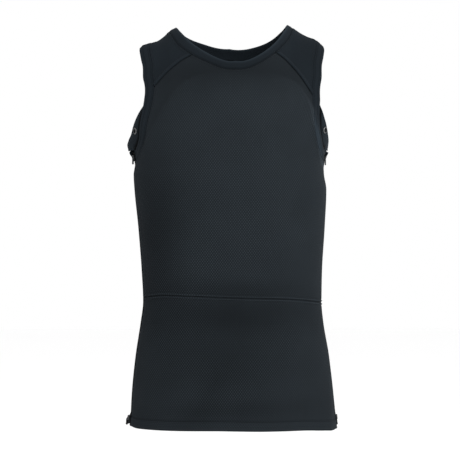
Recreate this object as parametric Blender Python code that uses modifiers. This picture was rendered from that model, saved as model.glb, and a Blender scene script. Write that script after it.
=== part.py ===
"""A sleeveless stab vest, shaped as it hangs when it is worn.

The front faces -Y and the wearer's left is on +X. The origin lies between the
shoulders, where the vest rests on them. All sizes are in metres.

Every cloth piece is a thin wall on one body form. The form is a stack of rounded
cross-sections, and above the chest its depth falls to nothing at the shoulder ridge.
Seams are lines on the form, and each panel is filled in between its seams.
"""
import math

import bmesh
import bpy
import numpy as np
from mathutils import Matrix, Vector

NAME = "stab_vest"
RIGHT, LEFT = -1, 1
SIDES = (("right", RIGHT), ("left", LEFT))
FRONT, BACK = -1, 1

# Cloth
PANEL_CLOTH = 0.0018
BAND_CLOTH = 0.0024
TAB_CLOTH = 0.0020
SEAM_GAP = 0.0009
LAYER_GAP = 0.0004

# Body form: how square its cross-sections are, and how far down the shoulders round off
CORNER_POWER = 2.3
SHOULDER_FALL = 0.200

# Neck, seen from above: half axes of the ellipses of its edge and of its seam
NECK_EDGE = {"right": 0.0942, "left": 0.0930, "front": 0.0958, "back": 0.0683}
NECK_SEAM = {"right": 0.1070, "left": 0.1025, "front": 0.1010, "back": 0.0780}
NECK_TILT = 0.0035
NECK_SWELL = 0.0008

# Armholes, seen from the side
ARMHOLE_CENTRE = -0.103
ARM_BAND = 0.018
ARM_SWELL = 0.0006
FRONT_TURN = -0.186
BACK_TURN = -0.182

# Side openings: how far forward of the side line each panel ends
FRONT_EDGE = 0.022
BACK_EDGE = 0.013
HEM_END = 0.170

# Zips
TAPE_EDGES = (0.031, 0.004)
TAPE_CLOTH = 0.0010
TAPE_DEPTH = 0.0030
COIL_EDGES = (0.0200, 0.0150)
COIL_TOP = 0.0003
COIL_SHOULDER = 0.0008
ZIP_HEAD = -0.197
ZIP_FOOT = -0.648
SLIDER_SIZE = (0.0072, 0.0028, 0.0110)
PULL_SIZE = (0.0046, 0.0014, 0.0105)
PULL_DROP = 0.0048
SLIDER_HEIGHT = -0.2030
SLIDER_GAP = 0.0008
ZIP_BOX_SIZE = (0.0068, 0.0028, 0.0085)
ZIP_BOX_HEIGHT = -0.6420
METAL_BEVEL = 0.0005

# Snap tabs and their press-stud sockets
TAB_TUCK = 0.007
TAB_CLEAR = 0.0018
TAB_DEPTH = 0.0031
SNAP_RADIUS = 0.0056
SNAP_HOLE = 0.0024
SNAP_RISE = 0.0016
SNAP_RIM = 0.0005
SNAP_SPAN = 0.030
SNAP_PLACE = {"right": (-0.1585, 0.50), "left": (-0.1565, 0.60)}

# Finishes: colour, roughness and metallic
KNIT = ((0.020, 0.024, 0.029, 1.0), 0.85, 0.0)
SMOOTH_KNIT = ((0.017, 0.021, 0.025, 1.0), 0.80, 0.0)
TAPE_BLACK = ((0.006, 0.007, 0.008, 1.0), 0.70, 0.0)
STEEL = ((0.55, 0.56, 0.58, 1.0), 0.30, 1.0)

# How many faces each stretch of a seam is cut into
YOKE_CUTS, NECK_CUTS, OVER_CUTS = 4, 10, 14
UNDERARM_CUTS, FRONT_ARM_CUTS, BACK_ARM_CUTS = 3, 10, 10
FRONT_ROWS, SKIRT_ROWS, BACK_ROWS = 10, 9, 17


class Table:
    """Rows of sizes with named columns, read along a smooth line through the rows."""

    def __init__(self, columns, *rows):
        self.columns = columns.split()
        self.rows = np.array(sorted(rows), dtype=float)

    def read(self, key, column):
        """Read a column at the key, on a cubic that keeps to the rows' own ups and downs."""
        keys = self.rows[:, 0]
        values = self.rows[:, self.columns.index(column)]
        step = np.diff(keys)
        slope = np.diff(values) / step
        near, far = slope[:-1], slope[1:]
        same_way = near * far > 0
        tangent = np.concatenate([slope[:1], np.zeros(len(near)), slope[-1:]])
        tangent[1:-1][same_way] = 2 * near[same_way] * far[same_way] / (near + far)[same_way]
        key = np.clip(np.asarray(key, dtype=float), keys[0], keys[-1])
        row = np.clip(np.searchsorted(keys, key) - 1, 0, len(step) - 1)
        t = (key - keys[row]) / step[row]
        return (
            values[row] * (1 + 2 * t) * (1 - t) ** 2
            + values[row + 1] * t**2 * (3 - 2 * t)
            + step[row] * tangent[row] * t * (1 - t) ** 2
            - step[row] * tangent[row + 1] * t**2 * (1 - t)
        )


# Half widths and depths of the form, by height
TORSO = Table(
    "height right left front back",
    (0.070, 0.1760, 0.1760, 0.0800, 0.056),
    (0.000, 0.1780, 0.1770, 0.0980, 0.082),
    (-0.060, 0.1770, 0.1740, 0.1090, 0.096),
    (-0.120, 0.1730, 0.1680, 0.1160, 0.103),
    (-0.190, 0.1650, 0.1580, 0.1180, 0.103),
    (-0.212, 0.1622, 0.1512, 0.1172, 0.102),
    (-0.232, 0.1648, 0.1522, 0.1163, 0.100),
    (-0.257, 0.1634, 0.1562, 0.1150, 0.098),
    (-0.320, 0.1570, 0.1535, 0.1100, 0.091),
    (-0.400, 0.1510, 0.1490, 0.1030, 0.086),
    (-0.445, 0.1490, 0.1485, 0.0995, 0.085),
    (-0.480, 0.1530, 0.1515, 0.0990, 0.087),
    (-0.540, 0.1620, 0.1615, 0.1010, 0.096),
    (-0.600, 0.1680, 0.1710, 0.1050, 0.105),
    (-0.660, 0.1710, 0.1770, 0.1080, 0.110),
)

# Height of the shoulder ridge, by distance from the middle
RIDGE = Table(
    "out right left",
    (0.000, 0.0680, 0.0680),
    (0.040, 0.0575, 0.0580),
    (0.080, 0.0310, 0.0350),
    (0.096, 0.0165, 0.0210),
    (0.106, 0.0110, 0.0160),
    (0.116, 0.0020, 0.0095),
    (0.127, -0.0055, 0.0038),
    (0.140, -0.0095, -0.0012),
    (0.150, -0.0125, -0.0090),
    (0.158, -0.0160, -0.0165),
    (0.180, -0.0290, -0.0300),
)

# Distance of the armhole's edge from the armhole's centre, by degrees from the top
ARMHOLE = Table(
    "turn right_front left_front back",
    (0, 0.0905, 0.0905, 0.0905),
    (30, 0.0664, 0.0695, 0.0700),
    (60, 0.0551, 0.0580, 0.0580),
    (90, 0.0565, 0.0603, 0.0555),
    (120, 0.0625, 0.0750, 0.0590),
    (135, 0.0705, 0.0870, 0.0650),
    (150, 0.0850, 0.0950, 0.0740),
    (165, 0.0900, 0.0920, 0.0840),
    (180, 0.0900, 0.0900, 0.0890),
)

# Yoke seams: where each starts on the neck seam, its height at the armhole seam, its bow
YOKE_SEAM = {
    ("right", FRONT): {"neck": 0.0710, "arm": -0.0865, "bow": 0.0070},
    ("left", FRONT): {"neck": 0.0680, "arm": -0.0990, "bow": 0.0085},
    ("right", BACK): {"neck": 0.0720, "arm": -0.0780, "bow": 0.0040},
    ("left", BACK): {"neck": 0.0700, "arm": -0.0800, "bow": 0.0040},
}

# Waist seam of the front, and the hems, by place across
WAIST = Table(
    "across height",
    (-0.160, -0.4406),
    (-0.116, -0.4340),
    (-0.075, -0.4352),
    (0.000, -0.4381),
    (0.080, -0.4403),
    (0.118, -0.4433),
    (0.150, -0.4480),
)
FRONT_HEM = Table(
    "across height",
    (-0.172, -0.6546),
    (-0.160, -0.6578),
    (-0.105, -0.6584),
    (-0.034, -0.6580),
    (0.000, -0.6586),
    (0.050, -0.6594),
    (0.108, -0.6592),
    (0.150, -0.6612),
    (0.165, -0.6626),
    (0.176, -0.6610),
)
BACK_HEM = Table("across height", (-0.180, -0.6544), (0.000, -0.6580), (0.180, -0.6560))

# Edge of the armour's relief on the chest, by height
PLATE = Table(
    "height right left",
    (-0.060, 0.040, 0.050),
    (-0.080, 0.086, 0.102),
    (-0.117, 0.117, 0.1255),
    (-0.149, 0.134, 0.135),
    (-0.177, 0.149, 0.141),
    (-0.204, 0.160, 0.147),
    (-0.240, 0.180, 0.165),
)
PLATE_RISE = 0.0030
PLATE_SLOPE = 0.016
PLATE_TOP = -0.062

# Dent across the front under the waist seam
DENT_DEPTH = 0.0035
DENT_HEIGHT = -0.470
DENT_REACH = (0.105, 0.022)

# Curl of the back's side edge, outwards: at the armpit and at the hem's corner
ARMPIT_CURL = {"right": 0.0085, "left": 0.0050}
ARMPIT_HEIGHT = -0.191
ARMPIT_REACH = 0.014
HEM_CURL = {"right": 0.0068, "left": 0.0015}
HEM_CURL_TOP = -0.632
HEM_CURL_REACH = 0.014

# Snap tabs by height: where the free edge lies, and how far it stands off the form
TAB = {
    "right": Table(
        "height free stand",
        (-0.187, 0.000, 0.0110),
        (-0.180, 0.002, 0.0110),
        (-0.172, -0.003, 0.0078),
        (-0.163, -0.012, 0.0030),
        (-0.146, -0.028, -0.0006),
        (-0.129, -0.041, -0.0048),
        (-0.113, -0.053, -0.0090),
    ),
    "left": Table(
        "height free stand",
        (-0.187, -0.005, 0.0035),
        (-0.180, -0.006, 0.0030),
        (-0.172, -0.017, 0.0022),
        (-0.163, -0.031, 0.0012),
        (-0.146, -0.045, 0.0005),
        (-0.129, -0.055, 0.0000),
        (-0.115, -0.0590, -0.0031),
    ),
}


def by_side(x, right, left):
    """Take the right's value where x is on the right, and the left's elsewhere."""
    return np.where(x < 0, right, left)


def half_width(z, x):
    """Half width of the form at a height, on the side that x is on."""
    return by_side(x, TORSO.read(z, "right"), TORSO.read(z, "left"))


def depth(z, y):
    """Depth of the form at a height, in front of or behind the side line."""
    return np.where(y < 0, TORSO.read(z, "front"), TORSO.read(z, "back"))


def ridge(x):
    """Height of the shoulder ridge above a place across."""
    return by_side(x, RIDGE.read(np.abs(x), "right"), RIDGE.read(np.abs(x), "left"))


def outside(points):
    """Tell where points lie: above nought outside the form, below nought inside it.

    The skin is where (y / depth) squared equals the plan factor times the crown factor.
    The plan factor rounds each cross-section, and the crown factor is one minus the
    square of what is left of the fall below the shoulder ridge.
    """
    x, y, z = np.moveaxis(points, -1, 0)
    corner = 1 - (np.abs(x) / half_width(z, x)) ** CORNER_POWER
    plan = np.sign(corner) * np.abs(corner) ** (2 / CORNER_POWER)
    fall = np.minimum((ridge(x) - z) / SHOULDER_FALL, 1)
    crown = 1 - (1 - fall) ** 2
    product = np.where((plan < 0) & (crown < 0), -plan * crown, plan * crown)
    return (y / depth(z, y)) ** 2 - product


def uphill(points):
    """The slope of outside() at points, by differences over a small step."""
    step = 0.0002
    slopes = [
        (outside(points + axis * step) - outside(points - axis * step)) / (2 * step)
        for axis in np.eye(3)
    ]
    return np.stack(slopes, axis=-1)


def unit(vectors):
    """Vectors of length one in the same directions."""
    return vectors / np.maximum(np.linalg.norm(vectors, axis=-1, keepdims=True), 1e-12)


def seat(points):
    """Move points on to the form's skin, along the form's slope."""
    longest_move = 0.01
    for _ in range(25):
        slope = uphill(points)
        square = np.maximum((slope**2).sum(axis=-1), 1.0)
        move = (outside(points) / square)[..., None] * slope
        length = np.linalg.norm(move, axis=-1, keepdims=True)
        points = points - move * np.minimum(1, longest_move / np.maximum(length, 1e-12))
    return points


def spread(*values):
    """Points from three values or arrays of values."""
    return np.stack(np.broadcast_arrays(*[np.asarray(v, dtype=float) for v in values]), axis=-1)


def slide(start, direction, reach):
    """Slide points from inside the form to its skin, by halving the way again and again."""
    near = np.zeros(start.shape[:-1])
    far = np.full(start.shape[:-1], float(reach))
    for _ in range(40):
        middle = (near + far) / 2
        within = outside(start + direction * middle[..., None]) < 0
        near = np.where(within, middle, near)
        far = np.where(within, far, middle)
    return start + direction * near[..., None]


def from_front(x, z, face):
    """Points on the front or back skin, from their places seen from the front."""
    return slide(spread(x, 0, z), np.array([0, face, 0]), 0.2)


def from_side(y, z, side):
    """Points on the right or left skin, from their places seen from the side."""
    return slide(spread(0, y, z), np.array([side, 0, 0]), 0.2)


def from_above(x, y):
    """Points on the shoulders' skin, from their places seen from above."""
    return slide(spread(x, y, -0.2), np.array([0, 0, 1]), 0.27)


def smooth_step(value):
    """Rise smoothly from nought to one as the value goes from nought to one."""
    value = np.clip(value, 0, 1)
    return value * value * (3 - 2 * value)


def relief(points):
    """How far the front stands off the form: over the armour, and under the waist."""
    x, y, z = np.moveaxis(points, -1, 0)
    edge = by_side(x, PLATE.read(z, "right"), PLATE.read(z, "left"))
    on_plate = smooth_step((edge - np.abs(x)) / PLATE_SLOPE + 0.5)
    on_plate = on_plate * smooth_step((PLATE_TOP - z) / (2 * PLATE_SLOPE))
    wide, high = DENT_REACH
    in_dent = np.exp(-(((z - DENT_HEIGHT) / high) ** 2) - (x / wide) ** 4)
    return smooth_step(-y / 0.02) * (PLATE_RISE * on_plate - DENT_DEPTH * in_dent)


def curl(points):
    """How far the back's side edge curls outwards, at the armpit and the hem's corner."""
    x, y, z = np.moveaxis(points, -1, 0)
    armpit = by_side(x, ARMPIT_CURL["right"], ARMPIT_CURL["left"])
    armpit = armpit * np.exp(-(((z - ARMPIT_HEIGHT) / ARMPIT_REACH) ** 2))
    corner = by_side(x, HEM_CURL["right"], HEM_CURL["left"])
    corner = corner * smooth_step((HEM_CURL_TOP - z) / HEM_CURL_REACH)
    near_edge = smooth_step((y + 0.026) / 0.016) * smooth_step((0.040 - y) / 0.040)
    return (armpit + corner) * near_edge


def lifted(points, away):
    """Points moved away from the form along its normal."""
    return points + unit(uphill(points)) * np.asarray(away)[..., None]


def stand_off(points, offset=0.0):
    """Points moved off the form by its relief, its curl and an offset."""
    return lifted(points, relief(points) + curl(points) + offset)


def pick(line, spots):
    """Points of a line at places counted in its own points."""
    return np.stack([np.interp(spots, np.arange(len(line)), line[:, a]) for a in range(3)], axis=1)


def even_spots(line, cuts):
    """Places, counted in a line's own points, that cut it into equal lengths."""
    length = np.concatenate([[0], np.cumsum(np.linalg.norm(np.diff(line, axis=0), axis=1))])
    return np.interp(np.linspace(0, length[-1], cuts + 1), length, np.arange(len(line)))


def even(line, cuts):
    """Points that cut a line into equal lengths."""
    return pick(line, even_spots(line, cuts))


def joined(*lines):
    """One line from several that follow each other, with no point twice."""
    return np.concatenate([lines[0]] + [line[1:] for line in lines[1:]])


def neck_points(axes, turn):
    """Points of a neck ellipse, by degrees from the front middle towards the left."""
    across = np.sin(np.radians(turn))
    along = -np.cos(np.radians(turn))
    x = across * by_side(across, axes["right"], axes["left"])
    y = along * np.where(along < 0, axes["front"], axes["back"] + NECK_TILT * across)
    return from_above(x, y)


def neck_turn(name, side, face):
    """Degrees round the neck seam at which a yoke seam meets it."""
    turn = math.degrees(math.asin(YOKE_SEAM[name, face]["neck"] / NECK_SEAM[name]))
    return side * (turn if face == FRONT else 180 - turn)


def neck_turns(start, end, cuts):
    """Degrees that cut a stretch of the neck seam into equal lengths."""
    turn = np.linspace(start, end, 121)
    return np.interp(even_spots(neck_points(NECK_SEAM, turn), cuts), np.arange(121), turn)


def neck_stretches():
    """Degrees of the seam's points round the neck, for each piece that it is sewn to."""
    front_right, front_left = (neck_turn(name, side, FRONT) for name, side in SIDES)
    back_right, back_left = (neck_turn(name, side, BACK) for name, side in SIDES)
    return {
        "front": neck_turns(front_right, front_left, NECK_CUTS),
        "left": neck_turns(front_left, back_left, OVER_CUTS),
        "back": neck_turns(back_left, back_right + 360, NECK_CUTS),
        "right": neck_turns(back_right + 360, front_right + 360, OVER_CUTS),
    }


def armhole_edge(name, side):
    """The armhole's edge, from the front's side edge over the shoulder to the back's."""
    foot = ARMHOLE.rows[-1, 1]
    first = 180 - math.degrees(math.atan2(FRONT_EDGE, foot))
    last = -180 - math.degrees(math.atan2(BACK_EDGE, foot))
    turn = np.linspace(first, last, 181)
    front = ARMHOLE.read(np.abs(turn), name + "_front")
    reach = np.where(turn > 0, front, ARMHOLE.read(np.abs(turn), "back"))
    y = -reach * np.sin(np.radians(turn))
    z = ARMHOLE_CENTRE + reach * np.cos(np.radians(turn))
    return even(from_side(y, z, side), 180)


def beside(edge, side, width):
    """The line that runs at a width beside an armhole's edge, away from the hole."""
    steps = 6
    line = edge
    for _ in range(steps):
        across = unit(np.cross(unit(uphill(line)), unit(np.gradient(line, axis=0))))
        line = seat(line + across * side * width / steps)
    line[0] = from_side(-FRONT_EDGE, line[0, 2], side)
    line[-1] = from_side(-BACK_EDGE, line[-1, 2], side)
    return line


def armhole_spots(name, seam):
    """Places along an armhole's seam, for each stretch that its neighbours share.

    The stretches run under the arm to the front turn, up to the front yoke seam, over
    to the back yoke seam, down to the back turn and under the arm again.
    """
    top = int(np.argmax(seam[:, 2]))
    last = len(seam) - 1
    rising, falling = seam[: top + 1, 2], seam[top:, 2]
    stops = [0]
    for height in (FRONT_TURN, YOKE_SEAM[name, FRONT]["arm"]):
        stops.append(np.interp(height, rising, np.arange(top + 1)))
    for height in (YOKE_SEAM[name, BACK]["arm"], BACK_TURN):
        stops.append(last - np.interp(height, falling[::-1], np.arange(last - top + 1)))
    stops.append(last)
    cuts = (UNDERARM_CUTS, FRONT_ARM_CUTS, OVER_CUTS, BACK_ARM_CUTS, UNDERARM_CUTS)
    stretches = []
    for start, end, count in zip(stops[:-1], stops[1:], cuts):
        fine = np.linspace(start, end, 121)
        stretches.append(np.interp(even_spots(pick(seam, fine), count), np.arange(121), fine))
    return stretches


class Armhole:
    """The lines of one armhole: its edge, its seam and the seam's stretches."""

    def __init__(self, name, side):
        self.whole_edge = armhole_edge(name, side)
        seam = beside(self.whole_edge, side, ARM_BAND)
        stretches = armhole_spots(name, seam)
        spots = np.concatenate([stretches[0]] + [stretch[1:] for stretch in stretches[1:]])
        self.edge = pick(self.whole_edge, spots)
        self.seam = pick(seam, spots)
        lines = [pick(seam, stretch) for stretch in stretches]
        self.front_under, self.front, self.over, self.back, self.back_under = lines


def yoke_line(name, side, face, armhole):
    """A yoke seam, bowed upwards, from the neck seam to the armhole seam."""
    start = neck_points(NECK_SEAM, np.array([neck_turn(name, side, face)]))[0]
    end = armhole.over[0 if face == FRONT else -1]
    t = np.linspace(0, 1, 25)
    x = start[0] + (end[0] - start[0]) * t
    z = start[2] + (end[2] - start[2]) * t + 4 * YOKE_SEAM[name, face]["bow"] * t * (1 - t)
    line = from_front(x, z, face)
    line[0], line[-1] = start, end
    return even(line, YOKE_CUTS)


def side_line(side, edge, low, high, cuts):
    """A panel's side edge between two heights."""
    return from_side(-edge, np.linspace(low, high, cuts + 1), side)


def cross_line(table, face, edge):
    """A seam or hem across the front or back, from the right side edge to the left one.

    It turns about the upright axis from one side edge to the other.
    """
    ends = [from_side(-edge, table.read(side * HEM_END, "height"), side) for _, side in SIDES]
    turn = np.linspace(*[side * math.atan2(abs(end[0]), -face * edge)
                         for end, (_, side) in zip(ends, SIDES)], 121)
    direction = spread(np.sin(turn), face * np.cos(turn), 0)
    line = direction * abs(ends[0][0])
    for _ in range(3):
        line = slide(spread(0, 0, table.read(line[:, 0], "height")), direction, 0.25)
    line[0], line[-1] = ends
    return even(line, 2 * (UNDERARM_CUTS + YOKE_CUTS) + NECK_CUTS)


def patch(bottom, top, first, last):
    """A grid of points between four lines, whose rows run from bottom to top.

    Each point is the mean of the places read across and read up, less the same place
    read from the corners alone, and is then seated on the form.
    """
    up, across = np.meshgrid(
        np.linspace(0, 1, len(first)), np.linspace(0, 1, len(bottom)), indexing="ij"
    )
    up, across = up[..., None], across[..., None]
    read_up = (1 - up) * bottom[None] + up * top[None]
    read_across = (1 - across) * first[:, None] + across * last[:, None]
    low_corners = (1 - across) * bottom[0] + across * bottom[-1]
    high_corners = (1 - across) * top[0] + across * top[-1]
    grid = seat(read_up + read_across - (1 - up) * low_corners - up * high_corners)
    grid[0], grid[-1], grid[:, 0], grid[:, -1] = bottom, top, first, last
    return grid


def finish_piece(piece, finish):
    """Give a piece a plain finish of its own."""
    colour, roughness, metallic = finish
    material = bpy.data.materials.new(piece.name + "_finish")
    material.use_nodes = True
    shader = material.node_tree.nodes["Principled BSDF"]
    shader.inputs["Base Color"].default_value = colour
    shader.inputs["Roughness"].default_value = roughness
    shader.inputs["Metallic"].default_value = metallic
    piece.data.materials.append(material)


def add_piece(name, mesh, finish, collection):
    """Put a mesh in a collection as a named piece with its finish."""
    piece = bpy.data.objects.new(name, mesh)
    collection.objects.link(piece)
    finish_piece(piece, finish)
    return piece


def add_grid(work, grid):
    """Add a grid of points to a mesh, with a four-sided face between each four of them."""
    corners = [[work.verts.new(point) for point in row] for row in grid]
    for low, high in zip(corners[:-1], corners[1:]):
        for at in range(len(low) - 1):
            work.faces.new((low[at], low[at + 1], high[at + 1], high[at]))


def draw_in(work, distance):
    """Move a surface's border inwards, in the surface, by the same distance all along."""
    inward = {}
    for edge in work.edges:
        if edge.is_boundary:
            face = edge.link_faces[0]
            along = edge.verts[1].co - edge.verts[0].co
            across = face.normal.cross(along).normalized()
            if across.dot(face.calc_center_median() - edge.verts[0].co) < 0:
                across.negate()
            for vert in edge.verts:
                inward.setdefault(vert, []).append(across)
    for vert, (one, other) in inward.items():
        vert.co += (one + other) * distance / (1 + one.dot(other))


def add_cloth(name, grids, thickness, finish, collection):
    """A cloth wall: surfaces joined into one and given their thickness on both sides."""
    work = bmesh.new()
    for grid in grids:
        add_grid(work, grid)
    bmesh.ops.remove_doubles(work, verts=work.verts, dist=0.00005)
    bmesh.ops.recalc_face_normals(work, faces=work.faces)
    draw_in(work, SEAM_GAP / 2)
    mesh = bpy.data.meshes.new(name)
    work.to_mesh(mesh)
    work.free()
    mesh.shade_smooth()
    piece = add_piece(name, mesh, finish, collection)
    wall = piece.modifiers.new("wall", "SOLIDIFY")
    wall.thickness = thickness
    wall.offset = 0
    return piece


def add_panel(name, face, low_line, low_edge, rows, armholes, collection):
    """A panel from a line across up to the yokes and neckband.

    A lower patch reaches up to the armpits, and an upper one stands between the armholes.
    """
    right, left = armholes["right"], armholes["left"]
    if face == FRONT:
        unders = (right.front_under, left.front_under[::-1])
        arms = (right.front, left.front)
    else:
        unders = (right.back_under[::-1], left.back_under)
        arms = (right.back[::-1], left.back[::-1])
    start, end = unders[0][-1], unders[1][0]
    share = np.linspace(0, 1, 2 * YOKE_CUTS + NECK_CUTS + 1)
    chest = from_front(
        start[0] + (end[0] - start[0]) * share, start[2] + (end[2] - start[2]) * share, face
    )
    chest[0], chest[-1] = start, end
    top_of_lower = joined(unders[0], chest, unders[1])
    sides = [
        side_line(side, low_edge, low_line[at, 2], top_of_lower[at, 2], rows)
        for (_, side), at in zip(SIDES, (0, -1))
    ]
    lower = patch(low_line, top_of_lower, *sides)
    neck = neck_points(NECK_SEAM, neck_stretches()["front" if face == FRONT else "back"])
    if face == BACK:
        neck = neck[::-1]
    top = joined(
        yoke_line("right", RIGHT, face, right)[::-1], neck, yoke_line("left", LEFT, face, left)
    )
    upper = patch(chest, top, *arms)
    grids = [stand_off(lower), stand_off(upper)]
    add_cloth(name, grids, PANEL_CLOTH, KNIT, collection)


def add_front_skirt(waist, collection):
    """The lower front, from the waist seam to the hem."""
    hem = cross_line(FRONT_HEM, FRONT, FRONT_EDGE)
    sides = [
        side_line(side, FRONT_EDGE, hem[at, 2], waist[at, 2], SKIRT_ROWS)
        for (_, side), at in zip(SIDES, (0, -1))
    ]
    grid = stand_off(patch(hem, waist, *sides))
    add_cloth("front_skirt", [grid], PANEL_CLOTH, KNIT, collection)


def add_yoke(name, side, armhole, collection):
    """A shoulder yoke, from its front seam over the ridge to its back seam."""
    neck = neck_points(NECK_SEAM, neck_stretches()[name])
    if side == RIGHT:
        neck = neck[::-1]
    front = yoke_line(name, side, FRONT, armhole)
    back = yoke_line(name, side, BACK, armhole)
    grid = stand_off(patch(front, back, neck, armhole.over))
    add_cloth(name + "_yoke", [grid], PANEL_CLOTH, SMOOTH_KNIT, collection)


def band_grid(seam, edge, swell):
    """Three rows across a folded band: its seam, its fuller middle and its edge."""
    middle = seat((seam + edge) / 2)
    return np.stack([stand_off(seam), stand_off(middle, swell), stand_off(edge)])


def add_neckband(collection):
    """The folded band round the neck."""
    turns = joined(*[turns[:, None] for turns in neck_stretches().values()])[:, 0]
    grid = band_grid(neck_points(NECK_SEAM, turns), neck_points(NECK_EDGE, turns), NECK_SWELL)
    add_cloth("neckband", [grid], BAND_CLOTH, SMOOTH_KNIT, collection)


def add_arm_band(name, armhole, collection):
    """The folded band round an armhole, open at the top of the side zip."""
    grid = band_grid(armhole.seam, armhole.edge, ARM_SWELL)
    add_cloth(name + "_arm_band", [grid], BAND_CLOTH, SMOOTH_KNIT, collection)


class SideZip:
    """One side's zip: a tape under the panels' side edges, its coil and its metal parts."""

    def __init__(self, name, side, armhole):
        self.name = name
        self.side = side
        foot = BACK_HEM.read(side * HEM_END, "height")
        seam, edge = armhole.seam[-1, 2], armhole.edge[-1, 2]
        self.rows = np.append(np.linspace(foot, seam, BACK_ROWS + 1), [(seam + edge) / 2, edge])

    def point(self, y, z, offset):
        """A point off the form, straight between the back panel's rows below and above it."""
        row = np.clip(np.searchsorted(self.rows, z) - 1, 0, len(self.rows) - 2)
        low, high = self.rows[row], self.rows[row + 1]
        share = np.asarray((z - low) / (high - low))[..., None]
        below = stand_off(from_side(y, low, self.side), offset)
        above = stand_off(from_side(y, high, self.side), offset)
        return below * (1 - share) + above * share

    def coil(self, y, z):
        """A point on the coil's outer face."""
        return self.point(y, z, COIL_TOP)

    def add_tape(self, collection):
        """Sweep the tape's section, with the coil standing on it, up the side."""
        under = -TAPE_DEPTH - TAPE_CLOTH / 2
        over = -TAPE_DEPTH + TAPE_CLOTH / 2
        fore, aft = TAPE_EDGES
        coil_fore, coil_aft = COIL_EDGES
        section = np.array(
            [
                (-fore, under),
                (-fore, over),
                (-coil_fore - COIL_SHOULDER, over),
                (-coil_fore, COIL_TOP),
                (-coil_aft, COIL_TOP),
                (-coil_aft + COIL_SHOULDER, over),
                (-aft, over),
                (-aft, under),
            ]
        )
        within = self.rows[(self.rows > ZIP_FOOT) & (self.rows < ZIP_HEAD)]
        heights = np.concatenate([[ZIP_FOOT], within, [ZIP_HEAD]])[:, None]
        rings = self.point(section[:, 0], heights + 0 * section[:, 0], section[:, 1])
        work = bmesh.new()
        add_grid(work, np.concatenate([rings, rings[:, :1]], axis=1))
        bmesh.ops.remove_doubles(work, verts=work.verts, dist=0.00005)
        bmesh.ops.holes_fill(work, edges=[edge for edge in work.edges if edge.is_boundary])
        bmesh.ops.triangulate(work, faces=[face for face in work.faces if len(face.verts) > 4])
        bmesh.ops.recalc_face_normals(work, faces=work.faces)
        mesh = bpy.data.meshes.new(self.name + "_side_zip")
        work.to_mesh(mesh)
        work.free()
        add_piece(self.name + "_side_zip", mesh, TAPE_BLACK, collection)

    def add_metal(self, collection, cutters):
        """Build the slider with its pull hanging down, and the box at the zip's foot."""
        middle = -sum(COIL_EDGES) / 2
        centre, axes = frame_of(self.coil, middle, SLIDER_HEIGHT)
        out = SLIDER_GAP + SLIDER_SIZE[1] / 2
        slider = metal_block(
            self.name + "_zip_slider", SLIDER_SIZE, placed(centre, axes, out), collection
        )
        hook = centre + axes[:, 1] * (out + SLIDER_SIZE[1] / 2)
        level = unit(axes[:, 1] * (1, 1, 0))
        upright = np.stack([np.cross(level, (0, 0, 1)), level, (0, 0, 1)], axis=1)
        hanging = placed(hook, upright, up=-PULL_DROP)
        pull = metal_block(self.name + "_zip_pull", PULL_SIZE, hanging, cutters)
        pull.hide_render = True
        pull.display_type = "WIRE"
        union = slider.modifiers.new("pull", "BOOLEAN")
        union.operation = "UNION"
        union.object = pull
        centre, axes = frame_of(self.coil, middle, ZIP_BOX_HEIGHT)
        out = LAYER_GAP + ZIP_BOX_SIZE[1] / 2
        metal_block(self.name + "_zip_box", ZIP_BOX_SIZE, placed(centre, axes, out), collection)


def frame_of(surface, first, second):
    """A place on a surface of two values, turned so that Y points out and Z points up."""
    step = 0.001
    centre = surface(first, second)
    back = unit(surface(first + step, second) - surface(first - step, second))
    up = surface(first, second + step) - surface(first, second - step)
    up = unit(up - back * up.dot(back))
    out = np.cross(up, back)
    if out[0] * centre[0] < 0:
        out = -out
    return centre, np.stack([np.cross(out, up), out, up], axis=1)


def placed(centre, axes, out=0.0, up=0.0):
    """The matrix of a frame, moved outwards and upwards along its own axes."""
    spot = centre + axes[:, 1] * out + axes[:, 2] * up
    return Matrix.Translation(Vector(spot)) @ Matrix(axes.tolist()).to_4x4()


def metal_block(name, size, matrix, collection):
    """A block of metal with its edges taken off."""
    work = bmesh.new()
    bmesh.ops.create_cube(work, size=1, matrix=Matrix.Diagonal((*size, 1)))
    mesh = bpy.data.meshes.new(name)
    work.to_mesh(mesh)
    work.free()
    piece = add_piece(name, mesh, STEEL, collection)
    piece.matrix_world = matrix
    bevel = piece.modifiers.new("edges", "BEVEL")
    bevel.width = METAL_BEVEL
    bevel.segments = 1
    return piece


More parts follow.
